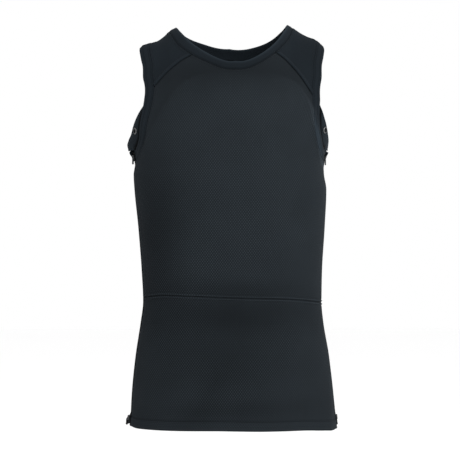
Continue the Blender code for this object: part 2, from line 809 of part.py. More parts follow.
class SnapTab:
    """A cloth tab under an arm, tucked behind the arm band and free at its other edge."""

    def __init__(self, name, side, armhole):
        self.name = name
        self.side = side
        low_half = armhole.whole_edge[: len(armhole.whole_edge) // 2]
        self.edge_heights = low_half[:, 2]
        self.edge_places = low_half[:, 1]

    def point(self, share, height):
        """A point by its share of the way from the armhole's edge to the free edge.

        The tucked part has shares below nought. Past the edge the tab leaves the form's
        inner side and comes out in a straight line to its free edge.
        """
        share, height = np.broadcast_arrays(np.asarray(share, float), np.asarray(height, float))
        edge = np.interp(height, self.edge_heights, self.edge_places)
        free = TAB[self.name].read(height, "free")
        stand = TAB[self.name].read(height, "stand")
        y = edge + np.where(share < 0, share * TAB_TUCK, share * (free - edge))
        inner = -TAB_DEPTH
        way = np.clip((y - edge - TAB_CLEAR) / (free - edge - TAB_CLEAR), 0, 1)
        spot = from_side(y, height, self.side)
        return lifted(spot, relief(spot) + inner + (stand - inner) * way)

    def add(self, collection):
        """Build the tab's cloth."""
        heights = TAB[self.name].rows
        rows = np.linspace(heights[0, 0], heights[-1, 0], 9)
        shares = np.array([-1, 0, 0.14, 0.36, 0.58, 0.80, 1.0])
        grid = self.point(shares[None], rows[:, None])
        add_cloth(self.name + "_snap_tab", [grid], TAB_CLOTH, SMOOTH_KNIT, collection)

    def add_socket(self, collection):
        """A press-stud ring on the tab, turned from a closed profile."""
        height, share = SNAP_PLACE[self.name]
        centre, axes = frame_of(self.point_by_size, share * SNAP_SPAN, height)
        profile = [
            (SNAP_RADIUS, SNAP_RISE - SNAP_RIM),
            (SNAP_RADIUS, 0),
            (SNAP_HOLE, 0),
            (SNAP_HOLE, SNAP_RISE),
            (SNAP_RADIUS - SNAP_RIM, SNAP_RISE),
        ]
        mesh = bpy.data.meshes.new(self.name + "_snap_socket")
        points = [(radius, rise, 0) for radius, rise in profile]
        edges = [(at, (at + 1) % len(points)) for at in range(len(points))]
        mesh.from_pydata(points, edges, [])
        piece = add_piece(self.name + "_snap_socket", mesh, STEEL, collection)
        piece.matrix_world = placed(centre, axes, TAB_CLOTH / 2 + LAYER_GAP)
        turn = piece.modifiers.new("turn", "SCREW")
        turn.axis = "Y"
        turn.steps = turn.render_steps = 20
        turn.use_merge_vertices = True
        turn.merge_threshold = 0.00005

    def point_by_size(self, reach, height):
        """A point by its distance from the armhole's edge, for measuring its frame."""
        return self.point(reach / SNAP_SPAN, height)


def build():
    """Build the vest in a collection of its own."""
    for leftover in list(bpy.data.objects):
        bpy.data.objects.remove(leftover, do_unlink=True)
    collection = bpy.data.collections.new(NAME)
    cutters = bpy.data.collections.new("cutters")
    for group in (collection, cutters):
        bpy.context.scene.collection.children.link(group)
    armholes = {name: Armhole(name, side) for name, side in SIDES}
    waist = cross_line(WAIST, FRONT, FRONT_EDGE)
    back_hem = cross_line(BACK_HEM, BACK, BACK_EDGE)
    add_panel("front_panel", FRONT, waist, FRONT_EDGE, FRONT_ROWS, armholes, collection)
    add_front_skirt(waist, collection)
    add_panel("back_panel", BACK, back_hem, BACK_EDGE, BACK_ROWS, armholes, collection)
    add_neckband(collection)
    for name, side in SIDES:
        add_yoke(name, side, armholes[name], collection)
        add_arm_band(name, armholes[name], collection)
        zip_of_side = SideZip(name, side, armholes[name])
        zip_of_side.add_tape(collection)
        zip_of_side.add_metal(collection, cutters)
        tab = SnapTab(name, side, armholes[name])
        tab.add(collection)
        tab.add_socket(collection)


build()
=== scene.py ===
"""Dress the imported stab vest: knit panels, folded bands, stitching, zips and snap tabs.

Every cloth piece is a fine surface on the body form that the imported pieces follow. The
front faces -Y and the wearer's left is on +X. All sizes are in metres, and the origin
lies between the shoulders.
"""
import logging
import math
from collections.abc import Callable, Iterable
from dataclasses import dataclass, field
from enum import Enum

import bpy
import numpy as np
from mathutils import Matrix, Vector


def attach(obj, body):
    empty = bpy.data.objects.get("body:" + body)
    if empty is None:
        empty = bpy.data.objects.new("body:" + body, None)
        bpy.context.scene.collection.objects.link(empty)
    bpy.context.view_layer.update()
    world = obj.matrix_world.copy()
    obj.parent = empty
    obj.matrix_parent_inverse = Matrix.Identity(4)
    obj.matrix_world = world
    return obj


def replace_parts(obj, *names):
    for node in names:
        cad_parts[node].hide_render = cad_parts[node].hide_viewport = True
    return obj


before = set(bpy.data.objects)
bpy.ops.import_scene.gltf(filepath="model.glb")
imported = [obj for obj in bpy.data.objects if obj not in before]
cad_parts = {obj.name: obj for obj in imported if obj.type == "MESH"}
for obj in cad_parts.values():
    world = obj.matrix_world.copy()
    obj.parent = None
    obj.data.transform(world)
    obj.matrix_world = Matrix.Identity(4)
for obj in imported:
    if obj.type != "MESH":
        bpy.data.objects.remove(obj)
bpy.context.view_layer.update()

LOG = logging.getLogger("stab_vest")
Array = np.ndarray
Pair = tuple[float, float]
Colour = tuple[float, float, float]
Piece = bpy.types.Object
Material = bpy.types.Material
Socket = bpy.types.NodeSocket

# How far the front's and the back's side edges lie ahead of the vest's side line
FRONT_EDGE = 0.022
BACK_EDGE = 0.013

# How many points a line has before it is cut: a seam, one stretch of it, or a stitched edge
SEAM_POINTS = 361
STRETCH_POINTS = 201
FINE_POINTS = 400


class Side(Enum):
    """The wearer's two sides, with the sign of X on each."""

    RIGHT = -1
    LEFT = 1

    @property
    def word(self) -> str:
        """The side's name in lower case."""
        return self.name.lower()


class Face(Enum):
    """The vest's front and back, with the sign of Y on each."""

    FRONT = -1
    BACK = 1


@dataclass(frozen=True)
class Table:
    """Rows of sizes with named columns, read along a smooth line through the rows."""

    columns: str
    rows: tuple[tuple[float, ...], ...]

    def read(self, key: Array | float, column: str) -> Array:
        """Read a column on a cubic that keeps to the rows' own ups and downs.

        Args:
            key: places in the first column.
            column: the name of the column to read.

        Returns:
            The column's value at each place.
        """
        table = np.array(sorted(self.rows), dtype=float)
        keys, values = table[:, 0], table[:, self.columns.split().index(column)]
        step = np.diff(keys)
        slope = np.diff(values) / step
        near, far = slope[:-1], slope[1:]
        same_way = near * far > 0
        tangent = np.concatenate([slope[:1], np.zeros(len(near)), slope[-1:]])
        tangent[1:-1][same_way] = 2 * near[same_way] * far[same_way] / (near + far)[same_way]
        key = np.clip(np.asarray(key, dtype=float), keys[0], keys[-1])
        row = np.clip(np.searchsorted(keys, key) - 1, 0, len(step) - 1)
        t = (key - keys[row]) / step[row]
        return (
            values[row] * (1 + 2 * t) * (1 - t) ** 2
            + values[row + 1] * t**2 * (3 - 2 * t)
            + step[row] * tangent[row] * t * (1 - t) ** 2
            - step[row] * tangent[row + 1] * t**2 * (1 - t)
        )


# Half widths and depths of the body form, by height
TORSO = Table(
    "height right left front back",
    (
        (0.070, 0.1760, 0.1760, 0.0800, 0.056),
        (0.000, 0.1780, 0.1770, 0.0980, 0.082),
        (-0.060, 0.1770, 0.1740, 0.1090, 0.096),
        (-0.120, 0.1730, 0.1680, 0.1160, 0.103),
        (-0.190, 0.1650, 0.1580, 0.1180, 0.103),
        (-0.212, 0.1622, 0.1512, 0.1172, 0.102),
        (-0.232, 0.1648, 0.1522, 0.1163, 0.100),
        (-0.257, 0.1634, 0.1562, 0.1150, 0.098),
        (-0.320, 0.1570, 0.1535, 0.1100, 0.091),
        (-0.400, 0.1510, 0.1490, 0.1030, 0.086),
        (-0.445, 0.1490, 0.1485, 0.0995, 0.085),
        (-0.480, 0.1530, 0.1515, 0.0990, 0.087),
        (-0.540, 0.1620, 0.1615, 0.1010, 0.096),
        (-0.600, 0.1680, 0.1710, 0.1050, 0.105),
        (-0.660, 0.1710, 0.1770, 0.1080, 0.110),
    ),
)

# Height of the shoulder ridge, by distance from the middle
RIDGE = Table(
    "out right left",
    (
        (0.000, 0.0680, 0.0680),
        (0.040, 0.0575, 0.0580),
        (0.080, 0.0310, 0.0350),
        (0.096, 0.0165, 0.0210),
        (0.106, 0.0110, 0.0160),
        (0.116, 0.0020, 0.0095),
        (0.127, -0.0055, 0.0038),
        (0.140, -0.0095, -0.0012),
        (0.150, -0.0125, -0.0090),
        (0.158, -0.0160, -0.0165),
        (0.180, -0.0290, -0.0300),
    ),
)

# Distance of the armhole's edge from the armhole's centre, by degrees from the top
ARMHOLE = Table(
    "turn right_front left_front back",
    (
        (0, 0.0905, 0.0905, 0.0905),
        (30, 0.0664, 0.0695, 0.0700),
        (60, 0.0551, 0.0580, 0.0580),
        (90, 0.0565, 0.0603, 0.0555),
        (120, 0.0625, 0.0750, 0.0590),
        (135, 0.0705, 0.0870, 0.0650),
        (150, 0.0850, 0.0950, 0.0740),
        (165, 0.0900, 0.0920, 0.0840),
        (180, 0.0900, 0.0900, 0.0890),
    ),
)

# Waist seam of the front, and the hems, by place across
WAIST = Table(
    "across height",
    (
        (-0.160, -0.4406),
        (-0.116, -0.4340),
        (-0.075, -0.4352),
        (0.000, -0.4381),
        (0.080, -0.4403),
        (0.118, -0.4433),
        (0.150, -0.4480),
    ),
)
FRONT_HEM = Table(
    "across height",
    (
        (-0.172, -0.6546),
        (-0.160, -0.6578),
        (-0.105, -0.6584),
        (-0.034, -0.6580),
        (0.000, -0.6586),
        (0.050, -0.6594),
        (0.108, -0.6592),
        (0.150, -0.6612),
        (0.165, -0.6626),
        (0.176, -0.6610),
    ),
)
BACK_HEM = Table("across height", ((-0.180, -0.6544), (0.000, -0.6580), (0.180, -0.6560)))

# Edge of the armour's relief on the chest, by height
PLATE = Table(
    "height right left",
    (
        (-0.060, 0.040, 0.050),
        (-0.080, 0.086, 0.102),
        (-0.117, 0.117, 0.1255),
        (-0.149, 0.134, 0.135),
        (-0.177, 0.149, 0.141),
        (-0.204, 0.160, 0.147),
        (-0.240, 0.180, 0.165),
    ),
)

def unit(vectors: Array) -> Array:
    """Vectors of length one in the same directions."""
    return vectors / np.maximum(np.linalg.norm(vectors, axis=-1, keepdims=True), 1e-12)


def square_to(out: Array, run: Array) -> Array:
    """Directions turned until they stand at right angles to the runs."""
    return unit(out - run * (out * run).sum(axis=1, keepdims=True))


def spread(*values: Array | float) -> Array:
    """Points from three values or arrays of values."""
    return np.stack(np.broadcast_arrays(*[np.asarray(v, dtype=float) for v in values]), axis=-1)


def smooth_step(value: Array) -> Array:
    """Rise smoothly from nought to one as the value goes from nought to one."""
    value = np.clip(value, 0, 1)
    return value * value * (3 - 2 * value)


def within(value: Array, span: Pair, fades: Pair) -> Array:
    """Rise smoothly from nought at a span's low end, and fall to nought at its high end."""
    return smooth_step((value - span[0]) / fades[0]) * smooth_step((span[1] - value) / fades[1])


def bell_curve(distance: Array, width: float, power: int = 2) -> Array:
    """One at nought, falling as e to the minus power of the distance over the width."""
    return np.exp(-((distance / width) ** power))


def by_side(x: Array, right: Array | float, left: Array | float) -> Array:
    """Take the right's value where x is on the right, and the left's elsewhere."""
    return np.where(x < 0, right, left)


@dataclass(frozen=True)
class Bell:
    """A soft fold, or painted light and shade, on one face: its middle, reach, turn and height.

    The reach is along and across its own direction, and the turn is in degrees.
    """

    middle: Pair
    reach: Pair
    turn: float
    height: float
    face: Face = Face.FRONT

    def at(self, points: Array) -> Array:
        """The height at points: a bell along and across, on its own face alone.

        Args:
            points: places in space.

        Returns:
            One height for each place.
        """
        x, y, z = np.moveaxis(points, -1, 0)
        turn, side_fade = math.radians(self.turn), 0.03
        across, up = x - self.middle[0], z - self.middle[1]
        along = across * math.cos(turn) + up * math.sin(turn)
        over = up * math.cos(turn) - across * math.sin(turn)
        bell = np.exp(-((along / self.reach[0]) ** 2) - (over / self.reach[1]) ** 2)
        return self.height * bell * smooth_step(self.face.value * y / side_fade)


# Soft folds of the cloth, with heights in metres
FOLDS = (
    Bell((0.000, -0.058), (0.080, 0.010), 0, -0.0010),
    Bell((0.030, -0.535), (0.080, 0.026), 18, 0.0016),
    Bell((-0.045, -0.590), (0.050, 0.022), 50, -0.0016),
    Bell((0.110, -0.505), (0.050, 0.018), -28, 0.0012),
    Bell((-0.110, -0.350), (0.120, 0.024), 84, -0.0014),
    Bell((-0.080, -0.360), (0.090, 0.016), 86, 0.0008),
    Bell((0.080, -0.470), (0.070, 0.016), 12, 0.0020, Face.BACK),
    Bell((-0.070, -0.440), (0.080, 0.018), -14, 0.0020, Face.BACK),
    Bell((0.000, -0.455), (0.110, 0.014), 2, -0.0018, Face.BACK),
    Bell((0.090, -0.180), (0.070, 0.020), 64, 0.0016, Face.BACK),
    Bell((-0.090, -0.180), (0.070, 0.020), -62, 0.0016, Face.BACK),
)

# Broad patches of painted shade and painted light on the front, with heights as shares
PAINTED_SHADE_AND_LIGHT = (
    Bell((-0.127, -0.330), (0.140, 0.040), 88, -0.36),
    Bell((0.000, -0.068), (0.120, 0.030), 0, -0.26),
    Bell((0.000, -0.426), (0.110, 0.018), -1, -0.24),
    Bell((-0.004, -0.470), (0.128, 0.032), 0, -0.36),
    Bell((-0.020, -0.550), (0.110, 0.060), 0, -0.26),
    Bell((-0.046, -0.600), (0.060, 0.020), 62, -0.12),
    Bell((0.020, -0.625), (0.150, 0.018), 2, -0.25),
    Bell((0.045, -0.150), (0.040, 0.070), 0, 0.04),
    Bell((-0.112, -0.180), (0.034, 0.050), 0, 0.09),
    Bell((0.125, -0.015), (0.045, 0.055), 0, -0.15),
    Bell((-0.152, -0.150), (0.018, 0.050), 0, 0.16),
)


@dataclass(frozen=True)
class BodyForm:
    """The form that the cloth follows: rounded sections that close at a shoulder ridge.

    The skin is where (y / depth) squared equals the plan factor times the crown factor.
    The plan factor rounds each section, and the crown factor is one minus the square of
    what is left of the fall below the shoulder ridge.
    """

    corner_power: float = 2.3
    shoulder_fall: float = 0.200
    flat_reach: float = 0.20
    round_reach: float = 0.25
    upward_reach: float = 0.27
    chest_height: float = -0.2

    def outside(self, points: Array) -> Array:
        """Tell where points lie: above nought outside the form, below nought inside it.

        Args:
            points: places in space.

        Returns:
            One value for each place.
        """
        x, y, z = np.moveaxis(points, -1, 0)
        width = by_side(x, TORSO.read(z, "right"), TORSO.read(z, "left"))
        depth = np.where(y < 0, TORSO.read(z, "front"), TORSO.read(z, "back"))
        ridge = by_side(x, RIDGE.read(np.abs(x), "right"), RIDGE.read(np.abs(x), "left"))
        corner = 1 - (np.abs(x) / width) ** self.corner_power
        plan = np.sign(corner) * np.abs(corner) ** (2 / self.corner_power)
        fall = np.minimum((ridge - z) / self.shoulder_fall, 1)
        crown = 1 - (1 - fall) ** 2
        product = np.where((plan < 0) & (crown < 0), -plan * crown, plan * crown)
        return (y / depth) ** 2 - product

    def uphill(self, points: Array) -> Array:
        """The slope of outside() at points, by differences over a small step.

        Args:
            points: places in space.

        Returns:
            One vector for each place.
        """
        step = 0.0002
        slopes = [
            (self.outside(points + axis * step) - self.outside(points - axis * step)) / (2 * step)
            for axis in np.eye(3)
        ]
        return np.stack(slopes, axis=-1)

    def normal(self, points: Array) -> Array:
        """Directions straight out of the form at points."""
        return unit(self.uphill(points))

    def seat(self, points: Array, rounds: int = 14) -> Array:
        """Move points on to the skin along the form's slope.

        Args:
            points: places near the skin.
            rounds: how often the move is made.

        Returns:
            Places on the skin.
        """
        longest_move = 0.01
        for _ in range(rounds):
            slope = self.uphill(points)
            square = np.maximum((slope**2).sum(axis=-1), 1.0)
            move = (self.outside(points) / square)[..., None] * slope
            length = np.linalg.norm(move, axis=-1, keepdims=True)
            points = points - move * np.minimum(1, longest_move / np.maximum(length, 1e-12))
        return points

    def slide(self, start: Array, direction: Array, reach: float) -> Array:
        """Slide points from inside the form to its skin, halving the way again and again.

        Args:
            start: places inside the form.
            direction: which way each place moves.
            reach: a distance that lies outside the form.

        Returns:
            Places on the skin.
        """
        near = np.zeros(start.shape[:-1])
        far = np.full(start.shape[:-1], reach)
        halvings = 34
        for _ in range(halvings):
            middle = (near + far) / 2
            within = self.outside(start + direction * middle[..., None]) < 0
            near = np.where(within, middle, near)
            far = np.where(within, far, middle)
        return start + direction * near[..., None]

    def from_front(self, x: Array, z: Array, face: Face) -> Array:
        """Points on the front or back skin, from their places seen from the front."""
        return self.slide(spread(x, 0, z), np.array([0, face.value, 0]), self.flat_reach)

    def from_side(self, y: Array, z: Array, side: Side) -> Array:
        """Points on the right or left skin, from their places seen from the side."""
        return self.slide(spread(0, y, z), np.array([side.value, 0, 0]), self.flat_reach)

    def from_above(self, x: Array, y: Array) -> Array:
        """Points on the shoulders' skin, from their places seen from above."""
        start = spread(x, y, self.chest_height)
        return self.slide(start, np.array([0, 0, 1]), self.upward_reach)


@dataclass(frozen=True)
class Drape:
    """How the cloth stands off the form: armour relief, waist dent, curls and folds."""

    form: BodyForm = field(default_factory=BodyForm)
    front_fade: float = 0.02
    plate_rise: float = 0.0030
    plate_slope: float = 0.016
    plate_top: float = -0.062
    plate_roll: Pair = (0.0, 0.0032)
    roll_width: float = 0.0042
    roll_span: Pair = (-0.235, -0.100)
    roll_fades: Pair = (0.03, 0.03)
    backed_span: Pair = (-0.240, -0.058)
    backed_fades: Pair = (0.0045, 0.02)
    beside_tone: float = 0.84
    # The crest fields set a painted highlight along the armour's left edge
    crest_light: float = 1.15
    crest_width: float = 0.0026
    crest_inset: float = 0.0038
    crest_inset_top: float = -0.104
    crest_inset_fade: float = 0.04
    crest_span: Pair = (-0.232, -0.088)
    crest_fades: Pair = (0.02, 0.08)
    plain_loops: float = 0.38
    chest_loops: float = 0.70
    skirt_loops: float = 1.28
    loops_top: float = -0.15
    loops_fall: float = 0.37
    dent_depth: float = 0.0065
    dent_height: float = -0.470
    dent_reach: Pair = (0.105, 0.022)
    armpit_curl: Pair = (0.0085, 0.0050)
    armpit_height: float = -0.191
    armpit_reach: float = 0.014
    hem_curl: Pair = (0.0068, 0.0015)
    hem_curl_top: float = -0.632
    hem_curl_reach: float = 0.014
    curl_span: Pair = (-0.026, 0.040)
    curl_fades: Pair = (0.016, 0.040)

    @staticmethod
    def past_plate_edge(points: Array) -> Array:
        """Distances inwards of the armour's edge, seen from the front."""
        x, z = points[..., 0], points[..., 2]
        return by_side(x, PLATE.read(z, "right"), PLATE.read(z, "left")) - np.abs(x)

    def relief(self, points: Array) -> Array:
        """How far the front stands off: over the armour and its edge, and at the waist.

        Args:
            points: places in space.

        Returns:
            One distance for each place.
        """
        x, y, z = np.moveaxis(points, -1, 0)
        inwards = self.past_plate_edge(points)
        below_top = smooth_step((self.plate_top - z) / (2 * self.plate_slope))
        plate = self.plate_rise * smooth_step(inwards / self.plate_slope + 0.5)
        roll = by_side(x, *self.plate_roll) * bell_curve(inwards, self.roll_width)
        roll = roll * within(z, self.roll_span, self.roll_fades)
        wide, high = self.dent_reach
        in_dent = np.exp(-(((z - self.dent_height) / high) ** 2) - (x / wide) ** 4)
        stands_off = (plate + roll) * below_top - self.dent_depth * in_dent
        return smooth_step(-y / self.front_fade) * stands_off

    def backed(self, points: Array) -> Array:
        """The share of the armour behind the cloth: one over it and nought beside it.

        Args:
            points: places in space.

        Returns:
            One share for each place.
        """
        (foot, top), (edge_fade, top_fade) = self.backed_span, self.backed_fades
        over_plate = smooth_step(self.past_plate_edge(points) / edge_fade + 0.5)
        z = points[..., 2]
        return np.where(z > foot, over_plate * smooth_step((top - z) / top_fade), 1.0)

    def loops(self, points: Array) -> Array:
        """How deep the loops print: flat beside the armour, deeper from chest to skirt.

        Args:
            points: places in space.

        Returns:
            One share of the loops' depth for each place.
        """
        down = np.clip((self.loops_top - points[..., 2]) / self.loops_fall, 0, 1)
        by_height = self.chest_loops + (self.skirt_loops - self.chest_loops) * down
        return by_height * (self.plain_loops + (1 - self.plain_loops) * self.backed(points))

    def tone(self, points: Array) -> Array:
        """How bright the front is painted: darker beside the armour, lit on its edge, the bells.

        Args:
            points: places in space.

        Returns:
            One share of full brightness for each place.
        """
        x, y, z = np.moveaxis(points, -1, 0)
        total = self.beside_tone + (1 - self.beside_tone) * self.backed(points)
        # A painted highlight along the armour's left edge
        fade = smooth_step((self.crest_inset_top - z) / self.crest_inset_fade)
        crest_at = PLATE.read(z, "left") - self.crest_inset * fade
        crest = bell_curve(crest_at - x, self.crest_width)
        crest = crest * within(z, self.crest_span, self.crest_fades)
        total = total + self.crest_light * crest * smooth_step(-y / self.front_fade)
        # The bells add painted shade and painted light
        return total + sum(tone.at(points) for tone in PAINTED_SHADE_AND_LIGHT)

    def curl(self, points: Array) -> Array:
        """How far the back's side edge curls outwards, at the armpit and the hem.

        Args:
            points: places in space.

        Returns:
            One distance for each place.
        """
        x, y, z = np.moveaxis(points, -1, 0)
        armpit = by_side(x, *self.armpit_curl)
        armpit = armpit * bell_curve(z - self.armpit_height, self.armpit_reach)
        corner = by_side(x, *self.hem_curl)
        corner = corner * smooth_step((self.hem_curl_top - z) / self.hem_curl_reach)
        return (armpit + corner) * within(y, self.curl_span, self.curl_fades)

    def away(self, points: Array) -> Array:
        """How far the cloth's middle stands off the form at points."""
        folds = sum(fold.at(points) for fold in FOLDS)
        return self.relief(points) + self.curl(points) + folds

    def off(self, points: Array, offset: Array | float = 0.0) -> Array:
        """Points moved off the form along its normal, by the drape and an offset."""
        return points + self.form.normal(points) * (self.away(points) + offset)[..., None]


def crowd(cuts: int, pull: float = 0.62) -> Array:
    """Shares from nought to one that lie closer together near both ends.

    Each share is its even place t, less pull * sin(2 pi t) / (2 pi).

    Args:
        cuts: how many steps there are.
        pull: how much shorter than even the first and last steps are.

    Returns:
        The shares, one more than the cuts.
    """
    even = np.linspace(0, 1, cuts + 1)
    return even - pull * np.sin(2 * math.pi * even) / (2 * math.pi)


def lengths(line: Array) -> Array:
    """Distance of each of a line's points from its start, along the line."""
    return np.concatenate([[0], np.cumsum(np.linalg.norm(np.diff(line, axis=0), axis=1))])


def pick(line: Array, spots: Array) -> Array:
    """Points of a line at places counted in its own points."""
    return np.stack([np.interp(spots, np.arange(len(line)), line[:, a]) for a in range(3)], axis=1)


def spots_at(line: Array, shares: Array) -> Array:
    """Places, counted in a line's own points, at shares of its length."""
    along = lengths(line)
    return np.interp(shares * along[-1], along, np.arange(len(line)))


def cut(line: Array, shares: Array) -> Array:
    """Points of a line at shares of its length."""
    return pick(line, spots_at(line, shares))


def shares_of(line: Array) -> Array:
    """Each point's share of its line's length."""
    along = lengths(line)
    return along / along[-1]


def crowded(values: Array, line: Array, cuts: int) -> Array:
    """Values of a line's own points, at places by length that crowd towards its ends."""
    return np.interp(spots_at(line, crowd(cuts)), np.arange(len(values)), values)


def spaced(line: Array, pitch: float) -> Array:
    """Shares of a line's length at the middles of stitches that lie a pitch apart."""
    count = max(2, int(lengths(line)[-1] / pitch))
    return (np.arange(count) + 0.5) / count


def joined(*lines: Array) -> Array:
    """One line from several that follow each other, with no point twice."""
    return np.concatenate([lines[0]] + [line[1:] for line in lines[1:]])


def distance_to(points: Array, line: Array) -> Array:
    """Distance from each point to the nearest place on a line of points.

    The nearest point of the line is found first, and then the nearest place on the two
    stretches that meet there.

    Args:
        points: places, as a flat list.
        line: the line's points.

    Returns:
        One distance for each place.
    """
    block = 4096
    nearest = np.empty(len(points), dtype=int)
    size = (line**2).sum(axis=1)
    for start in range(0, len(points), block):
        part = slice(start, start + block)
        nearest[part] = np.argmin(size[None] - 2 * points[part] @ line.T, axis=1)
    best = np.full(len(points), np.inf)
    for step in (-1, 0):
        low = np.clip(nearest + step, 0, len(line) - 2)
        base, run = line[low], line[low + 1] - line[low]
        share = ((points - base) * run).sum(axis=1) / np.maximum((run**2).sum(axis=1), 1e-14)
        foot = base + run * np.clip(share, 0, 1)[:, None]
        best = np.minimum(best, np.linalg.norm(points - foot, axis=1))
    return best


@dataclass(frozen=True)
class Fineness:
    """How many steps each stretch of a seam is cut into."""

    yoke: int = 36
    neck: int = 84
    over: int = 92
    under: int = 30
    front_arm: int = 64
    back_arm: int = 64
    front_rows: int = 110
    skirt_rows: int = 120
    back_rows: int = 180
    band_rows: int = 20


FINE = Fineness()


@dataclass(frozen=True)
class YokeSeam:
    """One yoke seam: its start on the neck seam, its height at the armhole, its bow."""

    neck: float
    arm: float
    bow: float


YOKE_SEAMS = {
    (Side.RIGHT, Face.FRONT): YokeSeam(0.0710, -0.0865, 0.0070),
    (Side.LEFT, Face.FRONT): YokeSeam(0.0680, -0.0990, 0.0085),
    (Side.RIGHT, Face.BACK): YokeSeam(0.0720, -0.0780, 0.0040),
    (Side.LEFT, Face.BACK): YokeSeam(0.0700, -0.0800, 0.0040),
}


@dataclass(frozen=True)
class NeckEllipse:
    """A ring round the neck, seen from above, by its four half axes and the back's tilt."""

    right: float
    left: float
    front: float
    back: float
    tilt: float = 0.0035

    def points(self, form: BodyForm, turn: Array) -> Array:
        """Points on the skin, by degrees from the front middle towards the left.

        Args:
            form: the form that the cloth follows.
            turn: the degrees.

        Returns:
            One point for each.
        """
        across, along = np.sin(np.radians(turn)), -np.cos(np.radians(turn))
        x = across * by_side(across, self.right, self.left)
        y = along * np.where(along < 0, self.front, self.back + self.tilt * across)
        return form.from_above(x, y)


NECK_EDGE = NeckEllipse(0.0942, 0.0930, 0.0958, 0.0683)
NECK_SEAM = NeckEllipse(0.1070, 0.1025, 0.1010, 0.0780)


@dataclass
class Armhole:
    """The lines of one armhole: its edge, its seam and the stretches of the seam."""

    side: Side
    form: BodyForm
    centre: float = -0.103
    band: float = 0.018
    front_turn: float = -0.186
    back_turn: float = -0.182

    def __post_init__(self) -> None:
        """Work out the lines."""
        self.whole_edge = self.edge_line()
        seam = self.beside(self.whole_edge, self.band)
        stretches = self.stretches(seam)
        spots = joined(*stretches)
        self.edge = pick(self.whole_edge, spots)
        self.seam = pick(seam, spots)
        lines = [pick(seam, part) for part in stretches]
        self.front_under, self.front, self.over, self.back, self.back_under = lines

    def edge_line(self) -> Array:
        """The edge, from the front's side edge over the shoulder to the back's.

        Returns:
            Points on the skin, evenly apart.
        """
        foot = ARMHOLE.rows[-1][1]
        first = 180 - math.degrees(math.atan2(FRONT_EDGE, foot))
        last = -180 - math.degrees(math.atan2(BACK_EDGE, foot))
        turn = np.linspace(first, last, SEAM_POINTS)
        front = ARMHOLE.read(np.abs(turn), self.side.word + "_front")
        reach = np.where(turn > 0, front, ARMHOLE.read(np.abs(turn), "back"))
        y = -reach * np.sin(np.radians(turn))
        z = self.centre + reach * np.cos(np.radians(turn))
        return cut(self.form.from_side(y, z, self.side), np.linspace(0, 1, SEAM_POINTS))

    def beside(self, edge: Array, width: float) -> Array:
        """The line that runs beside the edge on the skin, away from the hole.

        Args:
            edge: the edge's points.
            width: the distance between the two lines.

        Returns:
            Points on the skin.
        """
        steps = 6
        line = edge
        for _ in range(steps):
            along = unit(np.gradient(line, axis=0))
            across = unit(np.cross(self.form.normal(line), along))
            line = self.form.seat(line + across * self.side.value * width / steps)
        line[0] = self.form.from_side(-FRONT_EDGE, line[0, 2], self.side)
        line[-1] = self.form.from_side(-BACK_EDGE, line[-1, 2], self.side)
        return line

    def stretches(self, seam: Array) -> list[Array]:
        """Places along the seam for each stretch that its neighbours share.

        The stretches run under the arm to the front turn, up to the front yoke seam,
        over to the back yoke seam, down to the back turn and under the arm again.

        Args:
            seam: the seam's points.

        Returns:
            Five lists of places, counted in the seam's own points.
        """
        top, last = int(np.argmax(seam[:, 2])), len(seam) - 1
        rising, falling = seam[: top + 1, 2], seam[top:, 2]
        stops = [0.0]
        for height in (self.front_turn, YOKE_SEAMS[self.side, Face.FRONT].arm):
            stops.append(np.interp(height, rising, np.arange(top + 1)))
        for height in (YOKE_SEAMS[self.side, Face.BACK].arm, self.back_turn):
            stops.append(last - np.interp(height, falling[::-1], np.arange(last - top + 1)))
        stops.append(last)
        cuts = (FINE.under, FINE.front_arm, FINE.over, FINE.back_arm, FINE.under)
        found = []
        for start, end, count in zip(stops[:-1], stops[1:], cuts):
            fine = np.linspace(start, end, STRETCH_POINTS)
            found.append(crowded(fine, pick(seam, fine), count))
        return found


@dataclass(frozen=True)
class Crease:
    """A sewn line that draws the cloth in and lifts the meeting rims towards the outside.

    Every piece reads the same creases, so that neighbouring rims stay together.
    """

    line: Array
    sink: float
    lift: float
    width: float = 0.0026

    def pull(self, distance: Array) -> Array:
        """How far the cloth is drawn in at a distance."""
        return -self.sink * bell_curve(distance, self.width)

    def raised(self, distance: Array) -> Array:
        """How far outwards of the cloth's middle its rim lies at a distance."""
        return self.lift * bell_curve(distance, self.width)


